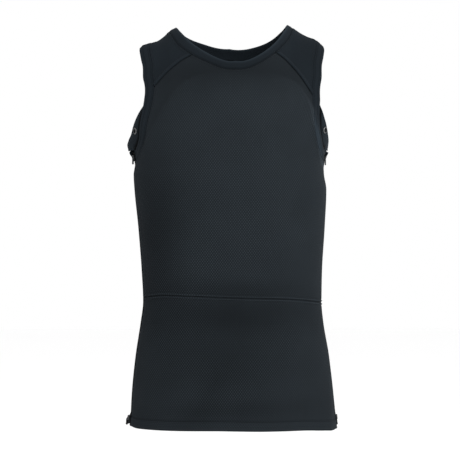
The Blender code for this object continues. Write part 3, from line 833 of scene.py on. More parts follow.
@dataclass
class Pattern:
    """Every seam and edge of the vest, as lines on the body form."""

    form: BodyForm = field(default_factory=BodyForm)
    hem_end: float = 0.170

    def __post_init__(self) -> None:
        """Work out the lines that several pieces share."""
        self.armholes = {side: Armhole(side, self.form) for side in Side}
        self.neck_turns = self.neck_stretches()
        self.waist = self.cross_line(WAIST, Face.FRONT, FRONT_EDGE)
        self.front_hem = self.cross_line(FRONT_HEM, Face.FRONT, FRONT_EDGE)
        self.back_hem = self.cross_line(BACK_HEM, Face.BACK, BACK_EDGE)
        self.yoke_lines = {key: self.yoke_line(*key) for key in YOKE_SEAMS}

    def creases(self) -> list[Crease]:
        """The seams that every piece reads, with how deep each one lies.

        Returns:
            The creases.
        """
        turn = np.linspace(0, 360, 2 * SEAM_POINTS - 1)
        found = [Crease(NECK_SEAM.points(self.form, turn), 0.0001, 0.0006)]
        found += [Crease(hole.seam, 0.0001, 0.0006) for hole in self.armholes.values()]
        found += [Crease(line, 0.0009, 0.0003) for line in self.yoke_lines.values()]
        return found + [Crease(self.waist, 0.0009, 0.0002)]

    def neck_turn(self, side: Side, face: Face) -> float:
        """Degrees round the neck seam at which a yoke seam meets it.

        Args:
            side: the wearer's side.
            face: front or back.

        Returns:
            Degrees towards the left.
        """
        widest = getattr(NECK_SEAM, side.word)
        turn = math.degrees(math.asin(YOKE_SEAMS[side, face].neck / widest))
        return side.value * (turn if face is Face.FRONT else 180 - turn)

    def neck_stretches(self) -> dict[str, Array]:
        """Degrees of the seam's points round the neck, for each piece sewn to it.

        Returns:
            Degrees by the names front, left, back and right.
        """
        front = [self.neck_turn(side, Face.FRONT) for side in Side]
        back = [self.neck_turn(side, Face.BACK) for side in Side]
        spans = {
            "front": (front[0], front[1], FINE.neck),
            "left": (front[1], back[1], FINE.over),
            "back": (back[1], back[0] + 360, FINE.neck),
            "right": (back[0] + 360, front[0] + 360, FINE.over),
        }
        found = {}
        for name, (start, end, count) in spans.items():
            turn = np.linspace(start, end, STRETCH_POINTS)
            found[name] = crowded(turn, NECK_SEAM.points(self.form, turn), count)
        return found

    def neck_line(self, name: str) -> Array:
        """The part of the neck seam that one piece is sewn to."""
        return NECK_SEAM.points(self.form, self.neck_turns[name])

    def yoke_line(self, side: Side, face: Face) -> Array:
        """A yoke seam, bowed upwards, from the neck seam to the armhole seam.

        Args:
            side: the wearer's side.
            face: front or back.

        Returns:
            Points on the skin.
        """
        seam = YOKE_SEAMS[side, face]
        start = NECK_SEAM.points(self.form, np.array([self.neck_turn(side, face)]))[0]
        end = self.armholes[side].over[0 if face is Face.FRONT else -1]
        t = np.linspace(0, 1, 61)
        x = start[0] + (end[0] - start[0]) * t
        z = start[2] + (end[2] - start[2]) * t + 4 * seam.bow * t * (1 - t)
        line = self.form.from_front(x, z, face)
        line[0], line[-1] = start, end
        return cut(line, crowd(FINE.yoke))

    def side_line(self, side: Side, edge: float, low: float, high: float, rows: int) -> Array:
        """A panel's side edge between two heights, with its points crowded at both ends."""
        return self.form.from_side(-edge, low + (high - low) * crowd(rows), side)

    def cross_line(self, table: Table, face: Face, edge: float) -> Array:
        """A seam or hem across the front or back, from the right side edge to the left.

        It turns about the upright axis from one side edge to the other.

        Args:
            table: the line's height by place across.
            face: front or back.
            edge: how far forward of the side line the panel ends.

        Returns:
            Points on the skin.
        """
        ends = [
            self.form.from_side(-edge, table.read(side.value * self.hem_end, "height"), side)
            for side in Side
        ]
        turns = [
            side.value * math.atan2(abs(end[0]), -face.value * edge)
            for end, side in zip(ends, Side)
        ]
        turn = np.linspace(*turns, SEAM_POINTS)
        direction = spread(np.sin(turn), face.value * np.cos(turn), 0)
        line = direction * abs(ends[0][0])
        rounds = 3
        for _ in range(rounds):
            height = table.read(line[:, 0], "height")
            line = self.form.slide(spread(0, 0, height), direction, self.form.round_reach)
        line[0], line[-1] = ends
        return line

    def patch(self, bottom: Array, top: Array, first: Array, last: Array) -> Array:
        """A grid of points between four lines, whose rows run from bottom to top.

        Each point is the mean of the places read across and read up, less the same
        place read from the corners alone, and is then seated on the form.

        Args:
            bottom: the lowest row.
            top: the highest row, with as many points.
            first: the first column.
            last: the last column, with as many points.

        Returns:
            Rows of columns of points.
        """
        rows, columns = shares_of(first), shares_of(top)
        up, across = rows[:, None, None], columns[None, :, None]
        read_up = (1 - up) * bottom[None] + up * top[None]
        read_across = (1 - across) * first[:, None] + across * last[:, None]
        low_corners = (1 - across) * bottom[0] + across * bottom[-1]
        high_corners = (1 - across) * top[0] + across * top[-1]
        grid = read_up + read_across - (1 - up) * low_corners - up * high_corners
        grid = self.form.seat(grid)
        grid[0], grid[-1], grid[:, 0], grid[:, -1] = bottom, top, first, last
        return grid

    def panel(self, face: Face, low: Array, edge: float, rows: int) -> tuple[list[Array], dict]:
        """The two grids of a panel, and the seams round it.

        A lower grid reaches up to the armpits, and an upper one stands between the
        armholes.

        Args:
            face: front or back.
            low: the line that the panel starts from.
            edge: how far forward of the side line its side edges are.
            rows: how many rows the lower grid has.

        Returns:
            The grids, and the panel's seams by name.
        """
        right, left = self.armholes[Side.RIGHT], self.armholes[Side.LEFT]
        if face is Face.FRONT:
            unders = (right.front_under, left.front_under[::-1])
            arms = (right.front, left.front)
            neck = self.neck_line("front")
        else:
            unders = (right.back_under[::-1], left.back_under)
            arms = (right.back[::-1], left.back[::-1])
            neck = self.neck_line("back")[::-1]
        yokes = (self.yoke_lines[Side.RIGHT, face][::-1], self.yoke_lines[Side.LEFT, face])
        top = joined(yokes[0], neck, yokes[1])
        start, end = unders[0][-1], unders[1][0]
        share = shares_of(top)
        x = start[0] + (end[0] - start[0]) * share
        z = start[2] + (end[2] - start[2]) * share
        chest = self.form.from_front(x, z, face)
        chest[0], chest[-1] = start, end
        armpits = joined(unders[0], chest, unders[1])
        low = cut(low, shares_of(armpits))
        sides = [
            self.side_line(side, edge, low[at, 2], armpits[at, 2], rows)
            for side, at in zip(Side, (0, -1))
        ]
        grids = [self.patch(low, armpits, *sides), self.patch(chest, top, *arms)]
        seams = {
            "low": low,
            "right_edge": sides[0],
            "left_edge": sides[1],
            "right_arm": joined(unders[0], arms[0]),
            "left_arm": joined(unders[1][::-1], arms[1]),
            "right_yoke": yokes[0],
            "left_yoke": yokes[1],
            "neck": neck,
        }
        return grids, seams


@dataclass(frozen=True)
class Profile:
    """How the cloth's outer face rises and sinks with the distance from a seam.

    Shelves are (width, rise): the face is raised up to the width. Ridges and grooves
    are (distance, half width, height): bells about a distance, grooves downwards. The
    shade is how bright the cloth stays right at the seam, where one is full brightness.
    """

    shelves: tuple[Pair, ...] = ()
    ridges: tuple[tuple[float, float, float], ...] = ()
    shade: float = 0.6
    shelf_fall: float = 0.0010
    shade_width: float = 0.0012
    shade_power: int = 2
    groove_shade: float = 0.72
    bead_light: float = 0.0

    def stitched(self) -> list[float]:
        """Distances of the grooves that stitches lie in."""
        return [at for at, _, height in self.ridges if height < 0]

    def swell(self, distance: Array) -> Array:
        """How far the outer face stands off the plain cloth.

        Args:
            distance: distances from the seam.

        Returns:
            One height for each distance.
        """
        total = np.zeros(distance.shape)
        for width, rise in self.shelves:
            total = total + rise * (1 - smooth_step((distance - width) / self.shelf_fall + 0.5))
        for at, half_width, height in self.ridges:
            total = total + height * bell_curve(distance - at, half_width)
        return total

    def brightness(self, distance: Array) -> Array:
        """How bright the cloth is: darker at the seam and in grooves, lighter on beads.

        Args:
            distance: distances from the seam.

        Returns:
            One share of full brightness for each distance.
        """
        # Shade at the seam, then painted shade in the grooves and painted highlights on the beads
        fade = bell_curve(distance, self.shade_width, self.shade_power)
        total = 1 - (1 - self.shade) * fade
        for at, half_width, height in self.ridges:
            near = bell_curve(distance - at, half_width)
            change = self.bead_light if height > 0 else self.groove_shade - 1
            total = total * (1 + change * near)
        return total


# How each kind of seam or edge shapes the cloth beside it, and how bright it paints it
PLAIN_EDGE = Profile(ridges=((0.0012, 0.0012, 0.00015),), shade=1.0)
# Painted shade at the neck seam and in the groove beside it
NECK_JOIN = Profile(((0.0040, 0.0006),), ((0.0019, 0.0008, -0.0004),), shade=0.78)
BAND_JOIN = Profile(ridges=((0.0019, 0.0008, -0.0004),), shade=0.78)
# A painted highlight along the neckband's folded edge
BAND_FOLD = Profile(ridges=((0.0015, 0.0012, 0.0002),), shade=2.0, shade_width=0.0030)
# Painted shade at the arm seams and in their grooves
ARM_JOIN = Profile(((0.0048, 0.0006),), ((0.0032, 0.0008, -0.0005),), shade=0.85)
ARM_BAND_JOIN = Profile(ridges=((0.0030, 0.0008, -0.0005),), shade=0.85)
# A painted highlight along the arm band's folded edge, and painted shade in its groove
ARM_BAND_FOLD = Profile(
    ridges=((0.0066, 0.0008, -0.0007), (0.0015, 0.0014, 0.0002)), shade=1.3, shade_width=0.0022
)
# Painted shade at the yoke seam and in its groove, and a painted highlight on its bead
YOKE_JOIN = Profile(
    ((0.0054, 0.0012),), ((0.0025, 0.0021, 0.0003), (0.0050, 0.0008, -0.0004)),
    shade=0.85, bead_light=0.27,
)
# A painted shadow on the body along the yoke's raised edge
BODY_AT_YOKE = Profile(shade=0.22, shade_width=0.0016)
# Slight painted shade at the waist seam and in its groove, and painted highlights on its bead
WAIST_JOIN = Profile(
    ridges=((0.0024, 0.0012, 0.0014), (0.0048, 0.0009, -0.0005)),
    shade=0.95, shade_width=0.0008, groove_shade=0.86, bead_light=0.55,
)
# Painted shade at the hem's seam and in its groove
HEM = Profile(
    ((0.0172, 0.0008),), ((0.0162, 0.0012, -0.0014), (0.0018, 0.0018, 0.0003)),
    shade=0.85, groove_shade=0.55,
)
# A painted highlight along the front's side edge, and painted shade in its grooves
ZIP_EDGE = Profile(
    ridges=((0.0012, 0.0012, 0.0005), (0.0052, 0.0008, -0.0006), (0.0170, 0.0010, -0.0004)),
    shade=2.2, shade_width=0.0015,
)
# A dark strip along the skirt's side edge, painted highlights on its beads and painted shade in its
# groove
SKIRT_ZIP_EDGE = Profile(
    ridges=((0.0012, 0.0012, 0.0005), (0.0058, 0.0010, 0.0003), (0.0170, 0.0010, -0.0004)),
    shade=0.10, shade_width=0.0042, shade_power=6, bead_light=0.55,
)
BACK_ZIP_EDGE = Profile(
    ridges=((0.0012, 0.0012, 0.00015),), shade=0.14, shade_width=0.0085, shade_power=6
)


@dataclass
class Surface:
    """One grid of cloth: its points on the form, in place, their normals, and unrolled."""

    rest: Array
    middle: Array
    normal: Array
    unrolled: Array


def unroll(grid: Array, start: Array | float = 0.0) -> Array:
    """Flat places of a grid's points, in metres across and up.

    Across is the length along each row, from where the row passes the vest's middle, or
    from the row's own middle if it doesn't. Up is the length along each column.

    Args:
        grid: rows of columns of points.
        start: the first row's places up.

    Returns:
        Rows of columns of places across and up.
    """
    steps = np.linalg.norm(np.diff(grid, axis=1), axis=2)
    across = np.concatenate([np.zeros((len(grid), 1)), np.cumsum(steps, axis=1)], axis=1)
    if (np.diff(grid[:, :, 0], axis=1) > 0).all() and grid[0, 0, 0] < 0 < grid[0, -1, 0]:
        middle = [np.interp(0, row[:, 0], along) for row, along in zip(grid, across)]
        across = across - np.array(middle)[:, None]
    else:
        across = across - across[:, -1:] / 2
    rises = np.linalg.norm(np.diff(grid, axis=0), axis=2)
    up = start + np.concatenate([np.zeros((1, grid.shape[1])), np.cumsum(rises, axis=0)])
    return np.stack([across, up], axis=-1)


def counted(rows: int, columns: int) -> Array:
    """The numbers of a grid's points, counted row by row."""
    return np.arange(rows * columns).reshape(rows, columns)


def quads(at: Array) -> Array:
    """Four-sided faces between neighbours in a grid of point numbers."""
    corners = (at[:-1, :-1], at[:-1, 1:], at[1:, 1:], at[1:, :-1])
    return np.stack(corners, axis=-1).reshape(-1, 4)


def across_faces(corners: Array) -> Array:
    """Each four-sided face's normal, twice as long as its area."""
    return np.cross(corners[:, 2] - corners[:, 0], corners[:, 3] - corners[:, 1])


def add_object(name: str, data: bpy.types.ID) -> Piece:
    """Put a mesh, light or camera into the scene as an object.

    Args:
        name: the object's name.
        data: what the object shows.

    Returns:
        The object.
    """
    piece = bpy.data.objects.new(name, data)
    bpy.context.scene.collection.objects.link(piece)
    return piece


def new_object(name: str, points: Array, faces: list, slot: str, finish: Material) -> Piece:
    """Make a smooth mesh object that rides on the vest.

    Args:
        name: the object's name.
        points: its vertices.
        faces: its faces, as lists of places in points.
        slot: not used.
        finish: its material.

    Returns:
        The object.
    """
    mesh = bpy.data.meshes.new(name)
    mesh.from_pydata(points.tolist(), [], faces)
    mesh.materials.append(finish)
    mesh.shade_smooth()
    piece = add_object(name, mesh)
    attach(piece, "root")
    LOG.info("%s: %d points, %d faces", name, len(points), len(faces))
    return piece


def mark_uv(mesh: bpy.types.Mesh, flat: Array) -> None:
    """Give a mesh its unrolled places, one for each corner of each face, as a UV map."""
    layer = mesh.uv_layers.new(name="cloth")
    layer.data.foreach_set("uv", flat.astype(np.float32).ravel())


def mark_points(mesh: bpy.types.Mesh, name: str, values: Array) -> None:
    """Give a mesh one value for each point, which its material reads by name."""
    layer = mesh.attributes.new(name, "FLOAT", "POINT")
    layer.data.foreach_set("value", values.astype(np.float32))


@dataclass(frozen=True)
class Join:
    """A seam or edge of a piece of cloth: its line, its profile and points inwards of it."""

    line: Array
    profile: Profile
    inner: Array


def joins_round(grid: Array, parts: Iterable[tuple[Array, Profile]]) -> list[Join]:
    """The joins round a grid, which all face its middle."""
    centre = grid[len(grid) // 2, grid.shape[1] // 2]
    return [Join(line, profile, centre) for line, profile in parts]


@dataclass
class Cloth:
    """A cloth wall with rounded rims, made of one or more surfaces sewn together."""

    name: str
    surfaces: list[Surface]
    wall: float
    joins: list[Join]
    drape: Drape
    creases: list[Crease] = field(default_factory=list)
    rim: float = 0.0009

    def build(self, slot: str, finish: Material) -> Piece:
        """The outer and inner faces lie half the wall away from the middle, and they meet
        along the border, where the wall thins to nothing along a quarter of an ellipse.
        The border itself lies on the middle, or above it where a crease lifts it.

        Args:
            slot: not used.
            finish: the material.

        Returns:
            The piece.
        """
        whole, faces = self.gathered()
        flat, decimals = whole.unrolled, 6
        turned = across_faces(whole.middle[faces])
        if (turned * whole.normal[faces[:, 0]]).sum() < 0:
            faces = faces[:, ::-1]
        flat_corners = flat[faces]
        places = np.round(whole.rest, decimals)
        _, keep, same = np.unique(places, axis=0, return_index=True, return_inverse=True)
        rest, faces = whole.rest[keep], same.ravel()[faces]
        border = self.border(faces, len(rest))
        outer, inner, shade = self.walls(rest, whole.middle[keep], whole.normal[keep], border)
        inner_at = np.arange(len(rest))
        inner_at[~border] = len(rest) + np.arange((~border).sum())
        points = np.concatenate([outer, inner[~border]])
        every = np.concatenate([faces, inner_at[faces[:, ::-1]]])
        piece = new_object(self.name, points, every.tolist(), slot, finish)
        mark_uv(piece.data, np.concatenate([flat_corners, flat_corners[:, ::-1]]))
        # seam_shade carries the painted light and shade of the seams, edges and front
        marks = {"seam_shade": shade, "loop_depth": self.drape.loops(rest)}
        for mark, values in marks.items():
            mark_points(piece.data, mark, np.concatenate([values, values[~border]]))
        return piece

    def gathered(self) -> tuple[Surface, Array]:
        """Put the surfaces together as one flat list of points, with their faces.

        Returns:
            The points as one surface, and the faces.
        """
        keys = (("rest", 3), ("middle", 3), ("normal", 3), ("unrolled", 2))
        parts = [[getattr(s, key).reshape(-1, size) for s in self.surfaces] for key, size in keys]
        whole = Surface(*[np.concatenate(part) for part in parts])
        faces, start = [], 0
        for surface in self.surfaces:
            rows, columns = surface.rest.shape[:2]
            faces.append(quads(counted(rows, columns) + start))
            start += rows * columns
        return whole, np.concatenate(faces)

    def walls(self, rest: Array, middle: Array, normal: Array, border: Array) -> list[Array]:
        """Move points outwards and inwards by the wall, its seams and its creases.

        Args:
            rest: points on the form.
            middle: the same points in the middle of the draped cloth.
            normal: directions out of the cloth.
            border: which points lie on the border.

        Returns:
            The outer points, the inner points and how bright each is painted.
        """
        nearest, shade = np.full(len(rest), np.inf), self.drape.tone(rest)
        swell, sink, lift = np.zeros((3, len(rest)))
        for join in self.joins:
            distance = distance_to(rest, join.line)
            nearest = np.minimum(nearest, distance)
            shade = shade * join.profile.brightness(distance)
            swell = swell + join.profile.swell(distance)
        for crease in self.creases:
            distance = distance_to(rest, crease.line)
            sink = sink + crease.pull(distance)
            lift = np.maximum(lift, crease.raised(distance))
        left = 1 - np.clip(nearest / self.rim, 0, 1)
        share = np.sqrt(np.clip(1 - left**2, 0, 1))
        share[border] = 0
        centre = middle + normal * sink[:, None]
        outer = centre + normal * (lift + share * (self.wall / 2 + swell - lift))[:, None]
        inner = centre + normal * (lift - share * (self.wall / 2 + lift))[:, None]
        return [outer, inner, shade]

    @staticmethod
    def border(faces: Array, count: int) -> Array:
        """Tell which points lie on an edge that only one face has.

        Args:
            faces: four-sided faces.
            count: how many points there are.

        Returns:
            True or false for each point.
        """
        edges = np.sort(np.concatenate([faces[:, [k, (k + 1) % 4]] for k in range(4)]), axis=1)
        found, times = np.unique(edges, axis=0, return_counts=True)
        on_border = np.zeros(count, dtype=bool)
        on_border[found[times == 1].ravel()] = True
        return on_border

    def stitches(self) -> list["StitchRow"]:
        """The rows of stitches that lie in the grooves of this piece.

        Returns:
            The rows.
        """
        rows = []
        for join in self.joins:
            for reach in join.profile.stitched():
                at = np.array(reach)
                height = self.wall / 2 + join.profile.swell(at)
                rows.append(StitchRow(join.line, join.inner, reach, float(height)))
        return rows


@dataclass(frozen=True)
class StitchRow:
    """A row of stitches on the cloth, at one distance from a seam or edge."""

    line: Array
    inner: Array
    reach: float
    height: float

    def frames(self, drape: Drape, pitch: float) -> tuple[Array, Array, Array]:
        """Where each stitch lies, which way it runs and which way is out of the cloth.

        The seam's line is moved across the form by the reach, in steps, towards the
        piece's inner side, and then off the form by the cloth's height.

        Args:
            drape: how the cloth stands off the form.
            pitch: the distance between stitches.

        Returns:
            Centres, directions along the row and directions outwards.
        """
        form, steps = drape.form, 3
        fine = cut(self.line, np.linspace(0, 1, FINE_POINTS))
        toward = self.inner - fine
        for _ in range(steps):
            inwards = unit(np.cross(form.normal(fine), unit(np.gradient(fine, axis=0))))
            if (inwards * toward).sum() < 0:
                inwards = -inwards
            fine = form.seat(fine + inwards * self.reach / steps, 5)
        path = drape.off(fine, self.height)
        shares = spaced(path, pitch)
        reach = 0.4 / len(shares)
        ahead = cut(path, np.minimum(shares + reach, 1))
        behind = cut(path, np.maximum(shares - reach, 0))
        run = unit(ahead - behind)
        return cut(path, shares), run, square_to(form.normal(cut(fine, shares)), run)


@dataclass(frozen=True)
class Strand:
    """The size of one short strand: a stitch or a tooth."""

    length: float
    radius: float
    arch: float

    def bundle(self, centre: Array, run: Array, out: Array) -> tuple[Array, list]:
        """Build a strand at every centre.

        A strand has rings at shares s of its half length. Its radius is its own radius
        times the square root of 1 - s squared, and it sinks by the arch times s squared.

        Args:
            centre: the strands' middles.
            run: the directions along them.
            out: the directions out of the cloth.

        Returns:
            The points, and the faces as lists of places in them.
        """
        sides, shares = 6, np.array([-0.85, -0.4, 0.4, 0.85])
        turn = np.arange(sides) * 2 * math.pi / sides
        along = np.concatenate([[-1], np.repeat(shares, sides), [1]])
        radius = np.sqrt(1 - along**2) * self.radius
        turned = np.concatenate([[0], np.tile(turn, len(shares)), [0]])
        over = np.cross(out, run)
        points = (
            centre[:, None]
            + run[:, None] * (along * self.length / 2)[None, :, None]
            + over[:, None] * (radius * np.cos(turned))[None, :, None]
            + out[:, None] * (radius * np.sin(turned) - self.arch * along**2)[None, :, None]
        )
        count, size = points.shape[:2]
        pairs = [(a, (a + 1) % sides) for a in range(sides)]
        top = 1 + sides * (len(shares) - 1)
        caps = [(0, 1 + b, 1 + a) for a, b in pairs]
        caps += [(size - 1, top + a, top + b) for a, b in pairs]
        belts = [
            (low + a, low + b, low + sides + b, low + sides + a)
            for low in range(1, top, sides)
            for a, b in pairs
        ]
        starts = (np.arange(count) * size)[:, None, None]
        faces = (np.array(caps)[None] + starts).reshape(-1, 3).tolist()
        faces += (np.array(belts)[None] + starts).reshape(-1, 4).tolist()
        return points.reshape(-1, 3), faces


@dataclass
class Body:
    """The vest's big pieces of knit: front, skirt and back."""

    pattern: Pattern
    drape: Drape
    wall: float = 0.0018

    def surface(self, grid: Array, start: Array | float = 0.0) -> Surface:
        """A grid on the form as a surface of draped cloth."""
        middle = self.drape.off(grid)
        return Surface(grid, middle, self.drape.form.normal(grid), unroll(grid, start))

    def panel(self, name: str, face: Face) -> tuple[Cloth, Array]:
        """The front above the waist, or the whole back.

        Args:
            name: the piece's name.
            face: front or back.

        Returns:
            The cloth, and its lowest row.
        """
        front = face is Face.FRONT
        low = self.pattern.waist if front else self.pattern.back_hem
        edge = FRONT_EDGE if front else BACK_EDGE
        rows = FINE.front_rows if front else FINE.back_rows
        grids, seams = self.pattern.panel(face, low, edge, rows)
        lower = self.surface(grids[0])
        under = FINE.under
        start = lower.unrolled[-1, under:-under, 1]
        upper = self.surface(grids[1], start)
        centre = grids[1][0, grids[1].shape[1] // 2]
        edge_profile = ZIP_EDGE if front else BACK_ZIP_EDGE
        profiles = {
            "low": WAIST_JOIN if front else HEM,
            "right_edge": edge_profile,
            "left_edge": edge_profile,
            "right_arm": ARM_JOIN,
            "left_arm": ARM_JOIN,
            "right_yoke": BODY_AT_YOKE,
            "left_yoke": BODY_AT_YOKE,
            "neck": NECK_JOIN,
        }
        joins = [Join(seams[key], profile, centre) for key, profile in profiles.items()]
        return Cloth(name, [lower, upper], self.wall, joins, self.drape), seams["low"]

    def skirt(self, name: str, waist: Array) -> Cloth:
        """The front below the waist seam.

        Args:
            name: the piece's name.
            waist: the front panel's lowest row.

        Returns:
            The cloth.
        """
        pattern = self.pattern
        hem = cut(pattern.front_hem, shares_of(waist))
        sides = [
            pattern.side_line(side, FRONT_EDGE, hem[at, 2], waist[at, 2], FINE.skirt_rows)
            for side, at in zip(Side, (0, -1))
        ]
        grid = pattern.patch(hem, waist, *sides)
        parts = zip((hem, waist, *sides), (HEM, WAIST_JOIN, SKIRT_ZIP_EDGE, ZIP_EDGE))
        joins = joins_round(grid, parts)
        return Cloth(name, [self.surface(grid)], self.wall, joins, self.drape)

    def yoke(self, side: Side) -> Cloth:
        """A shoulder yoke, from its front seam over the ridge to its back seam.

        Args:
            side: the wearer's side.

        Returns:
            The cloth.
        """
        pattern = self.pattern
        neck = pattern.neck_line(side.word)
        if side is Side.RIGHT:
            neck = neck[::-1]
        front, back = pattern.yoke_lines[side, Face.FRONT], pattern.yoke_lines[side, Face.BACK]
        arm = pattern.armholes[side].over
        grid = pattern.patch(front, back, neck, arm)
        parts = ((front, YOKE_JOIN), (back, YOKE_JOIN), (neck, NECK_JOIN), (arm, ARM_JOIN))
        joins = joins_round(grid, parts)
        return Cloth(side.word + "_yoke", [self.surface(grid)], self.wall, joins, self.drape)


@dataclass
class Bands:
    """The folded bands round the neck and the armholes."""

    pattern: Pattern
    drape: Drape
    wall: float = 0.0024
    neck_swell: float = 0.0008
    arm_swell: float = 0.0006

    def band(self, name: str, lines: tuple[Array, Array], swell: float, joins: list[Join]) -> Cloth:
        """A band between two lines, fuller in its middle.

        A row at share s stands off by the swell times 4 s (1 - s).

        Args:
            name: the piece's name.
            lines: the seam and the edge.
            swell: how far the middle stands off.
            joins: the band's seams and folds.

        Returns:
            The cloth.
        """
        share = crowd(FINE.band_rows, 0.5)[:, None, None]
        seam, edge = lines
        grid = self.drape.form.seat(seam * (1 - share) + edge * share)
        grid[0], grid[-1] = seam, edge
        fuller = (4 * swell * share * (1 - share))[..., 0]
        middle = self.drape.off(grid, fuller)
        surface = Surface(grid, middle, self.drape.form.normal(grid), unroll(grid))
        return Cloth(name, [surface], self.wall, joins, self.drape)

    def neckband(self) -> Cloth:
        """The band round the neck.

        Returns:
            The cloth.
        """
        turns = joined(*self.pattern.neck_turns.values())
        seam = NECK_SEAM.points(self.drape.form, turns)
        edge = NECK_EDGE.points(self.drape.form, turns)
        seam[-1], edge[-1] = seam[0], edge[0]
        fine = np.linspace(0, 1, FINE_POINTS)
        joins = [Join(seam, BAND_JOIN, cut(edge, fine)), Join(edge, BAND_FOLD, cut(seam, fine))]
        return self.band("neckband", (seam, edge), self.neck_swell, joins)

    def arm_band(self, side: Side) -> Cloth:
        """The band round an armhole, open at the top of the side zip.

        Args:
            side: the wearer's side.

        Returns:
            The cloth.
        """
        hole = self.pattern.armholes[side]
        fine = np.linspace(0, 1, FINE_POINTS)
        joins = [
            Join(hole.seam, ARM_BAND_JOIN, cut(hole.edge, fine)),
            Join(hole.edge, ARM_BAND_FOLD, cut(hole.seam, fine)),
        ]
        for at in (0, -1):
            end = np.stack([hole.seam[at], hole.edge[at]])
            joins.append(Join(end, PLAIN_EDGE, hole.seam[at * 2 + 1]))
        lines = (hole.seam, hole.edge)
        return self.band(side.word + "_arm_band", lines, self.arm_swell, joins)


def frame_of(
    surface: Callable[[float, float], Array], first: float, second: float
) -> tuple[Array, Array]:
    """A place on a surface of two values, with axes that run back, out and up.

    Args:
        surface: gives a point for two values.
        first: the first value.
        second: the second value.

    Returns:
        The place, and its axes as columns.
    """
    step = 0.001
    centre = surface(first, second)
    back = unit(surface(first + step, second) - surface(first - step, second))
    up = surface(first, second + step) - surface(first, second - step)
    up = unit(up - back * up.dot(back))
    out = np.cross(up, back)
    if out[0] * centre[0] < 0:
        out = -out
    return centre, np.stack([np.cross(out, up), out, up], axis=1)


@dataclass
class SideZip:
    """One side's zip: a woven tape behind the panels' edges, and a coil of nylon teeth."""

    side: Side
    drape: Drape
    tape_edges: Pair = (0.031, 0.004)
    tape_wall: float = 0.001
    tape_depth: float = 0.0030
    coil_top: float = 0.0003
    middle: float = -0.0175
    head: float = -0.1936
    foot: float = -0.648
    coil_ends: Pair = (0.008, 0.004)
    tooth_pitch: float = 0.0016
    tooth_lean: float = 0.35
    row_gap: float = 0.0021
    tooth: Strand = Strand(0.0027, 0.00062, 0.0008)
    rows: int = 226
    columns: int = 10

    def point(self, y: Array, z: Array, offset: Array | float) -> Array:
        """Points off the form at the vest's side."""
        spot = self.drape.form.from_side(y, z, self.side)
        return self.drape.off(spot, offset)

    def tape(self, finish: Material) -> Piece:
        """Build the tape, as a thin closed strip with rounded edges.

        Its section runs out along the outer face and back along the inner one. A point
        at share s across lies the tape's half wall, times the fourth root of
        1 - (2 s - 1) to the sixth, off the middle.

        Args:
            finish: the tape's material.

        Returns:
            The piece.
        """
        share = np.linspace(0, 1, self.columns + 1)
        fore, aft = self.tape_edges
        half = self.tape_wall / 2 * np.clip(1 - (2 * share - 1) ** 6, 0, 1) ** 0.25
        y = -fore + (fore - aft) * share
        places = np.concatenate([y, y[-2:0:-1]])
        offset = np.concatenate([half, -half[-2:0:-1]]) - self.tape_depth
        heights = np.linspace(self.foot, self.head, self.rows)
        rings = self.point(np.tile(places, (self.rows, 1)), heights[:, None] + 0 * places, offset)
        size = len(places)
        rings = np.concatenate([rings, rings[:, :1]], axis=1)
        flat = unroll(rings)
        at = counted(self.rows, size)
        at = np.concatenate([at, at[:, :1]], axis=1)
        faces = quads(at)
        corners = flat.reshape(-1, 2)[quads(counted(self.rows, size + 1))]
        if self.side is Side.LEFT:
            faces, corners = faces[:, ::-1], corners[:, ::-1]
        ends = [at[0, :-1].tolist(), at[-1, :-1].tolist()]
        ends[0 if self.side is Side.RIGHT else 1].reverse()
        points = rings[:, :-1].reshape(-1, 3)
        name = self.side.word + "_side_zip"
        piece = new_object(name + "_tape", points, faces.tolist() + ends, "zip_tape", finish)
        cap = np.repeat(corners[:1, 0], 2 * size, axis=0)
        mark_uv(piece.data, np.concatenate([corners.reshape(-1, 2), cap]))
        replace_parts(piece, name)
        return piece

    def teeth(self, finish: Material) -> Piece:
        """Build the coil: two leaning rows of arched strands that mesh in the middle.

        Args:
            finish: the nylon's material.

        Returns:
            The piece.
        """
        count = int((self.head - self.foot - sum(self.coil_ends)) / self.tooth_pitch)
        height = self.foot + self.coil_ends[0] + np.arange(count) * self.tooth_pitch
        points, faces, step = [], [], 0.001
        for turn in (-1, 1):
            z = height + (turn > 0) * self.tooth_pitch / 2
            y = np.full(count, self.middle + turn * self.row_gap / 2)
            centre = self.point(y, z, self.coil_top - self.tooth.radius)
            back = unit(self.point(y + step, z, 0.0) - self.point(y, z, 0.0))
            run = unit(back - np.array([0, 0, self.tooth_lean]))
            out = square_to(self.drape.form.normal(centre), run)
            found, made = self.tooth.bundle(centre, run, out)
            before = sum(len(block) for block in points)
            faces += [[corner + before for corner in face] for face in made]
            points.append(found)
        name = self.side.word + "_zip_coil"
        return new_object(name, np.concatenate(points), faces, "zip_tape", finish)


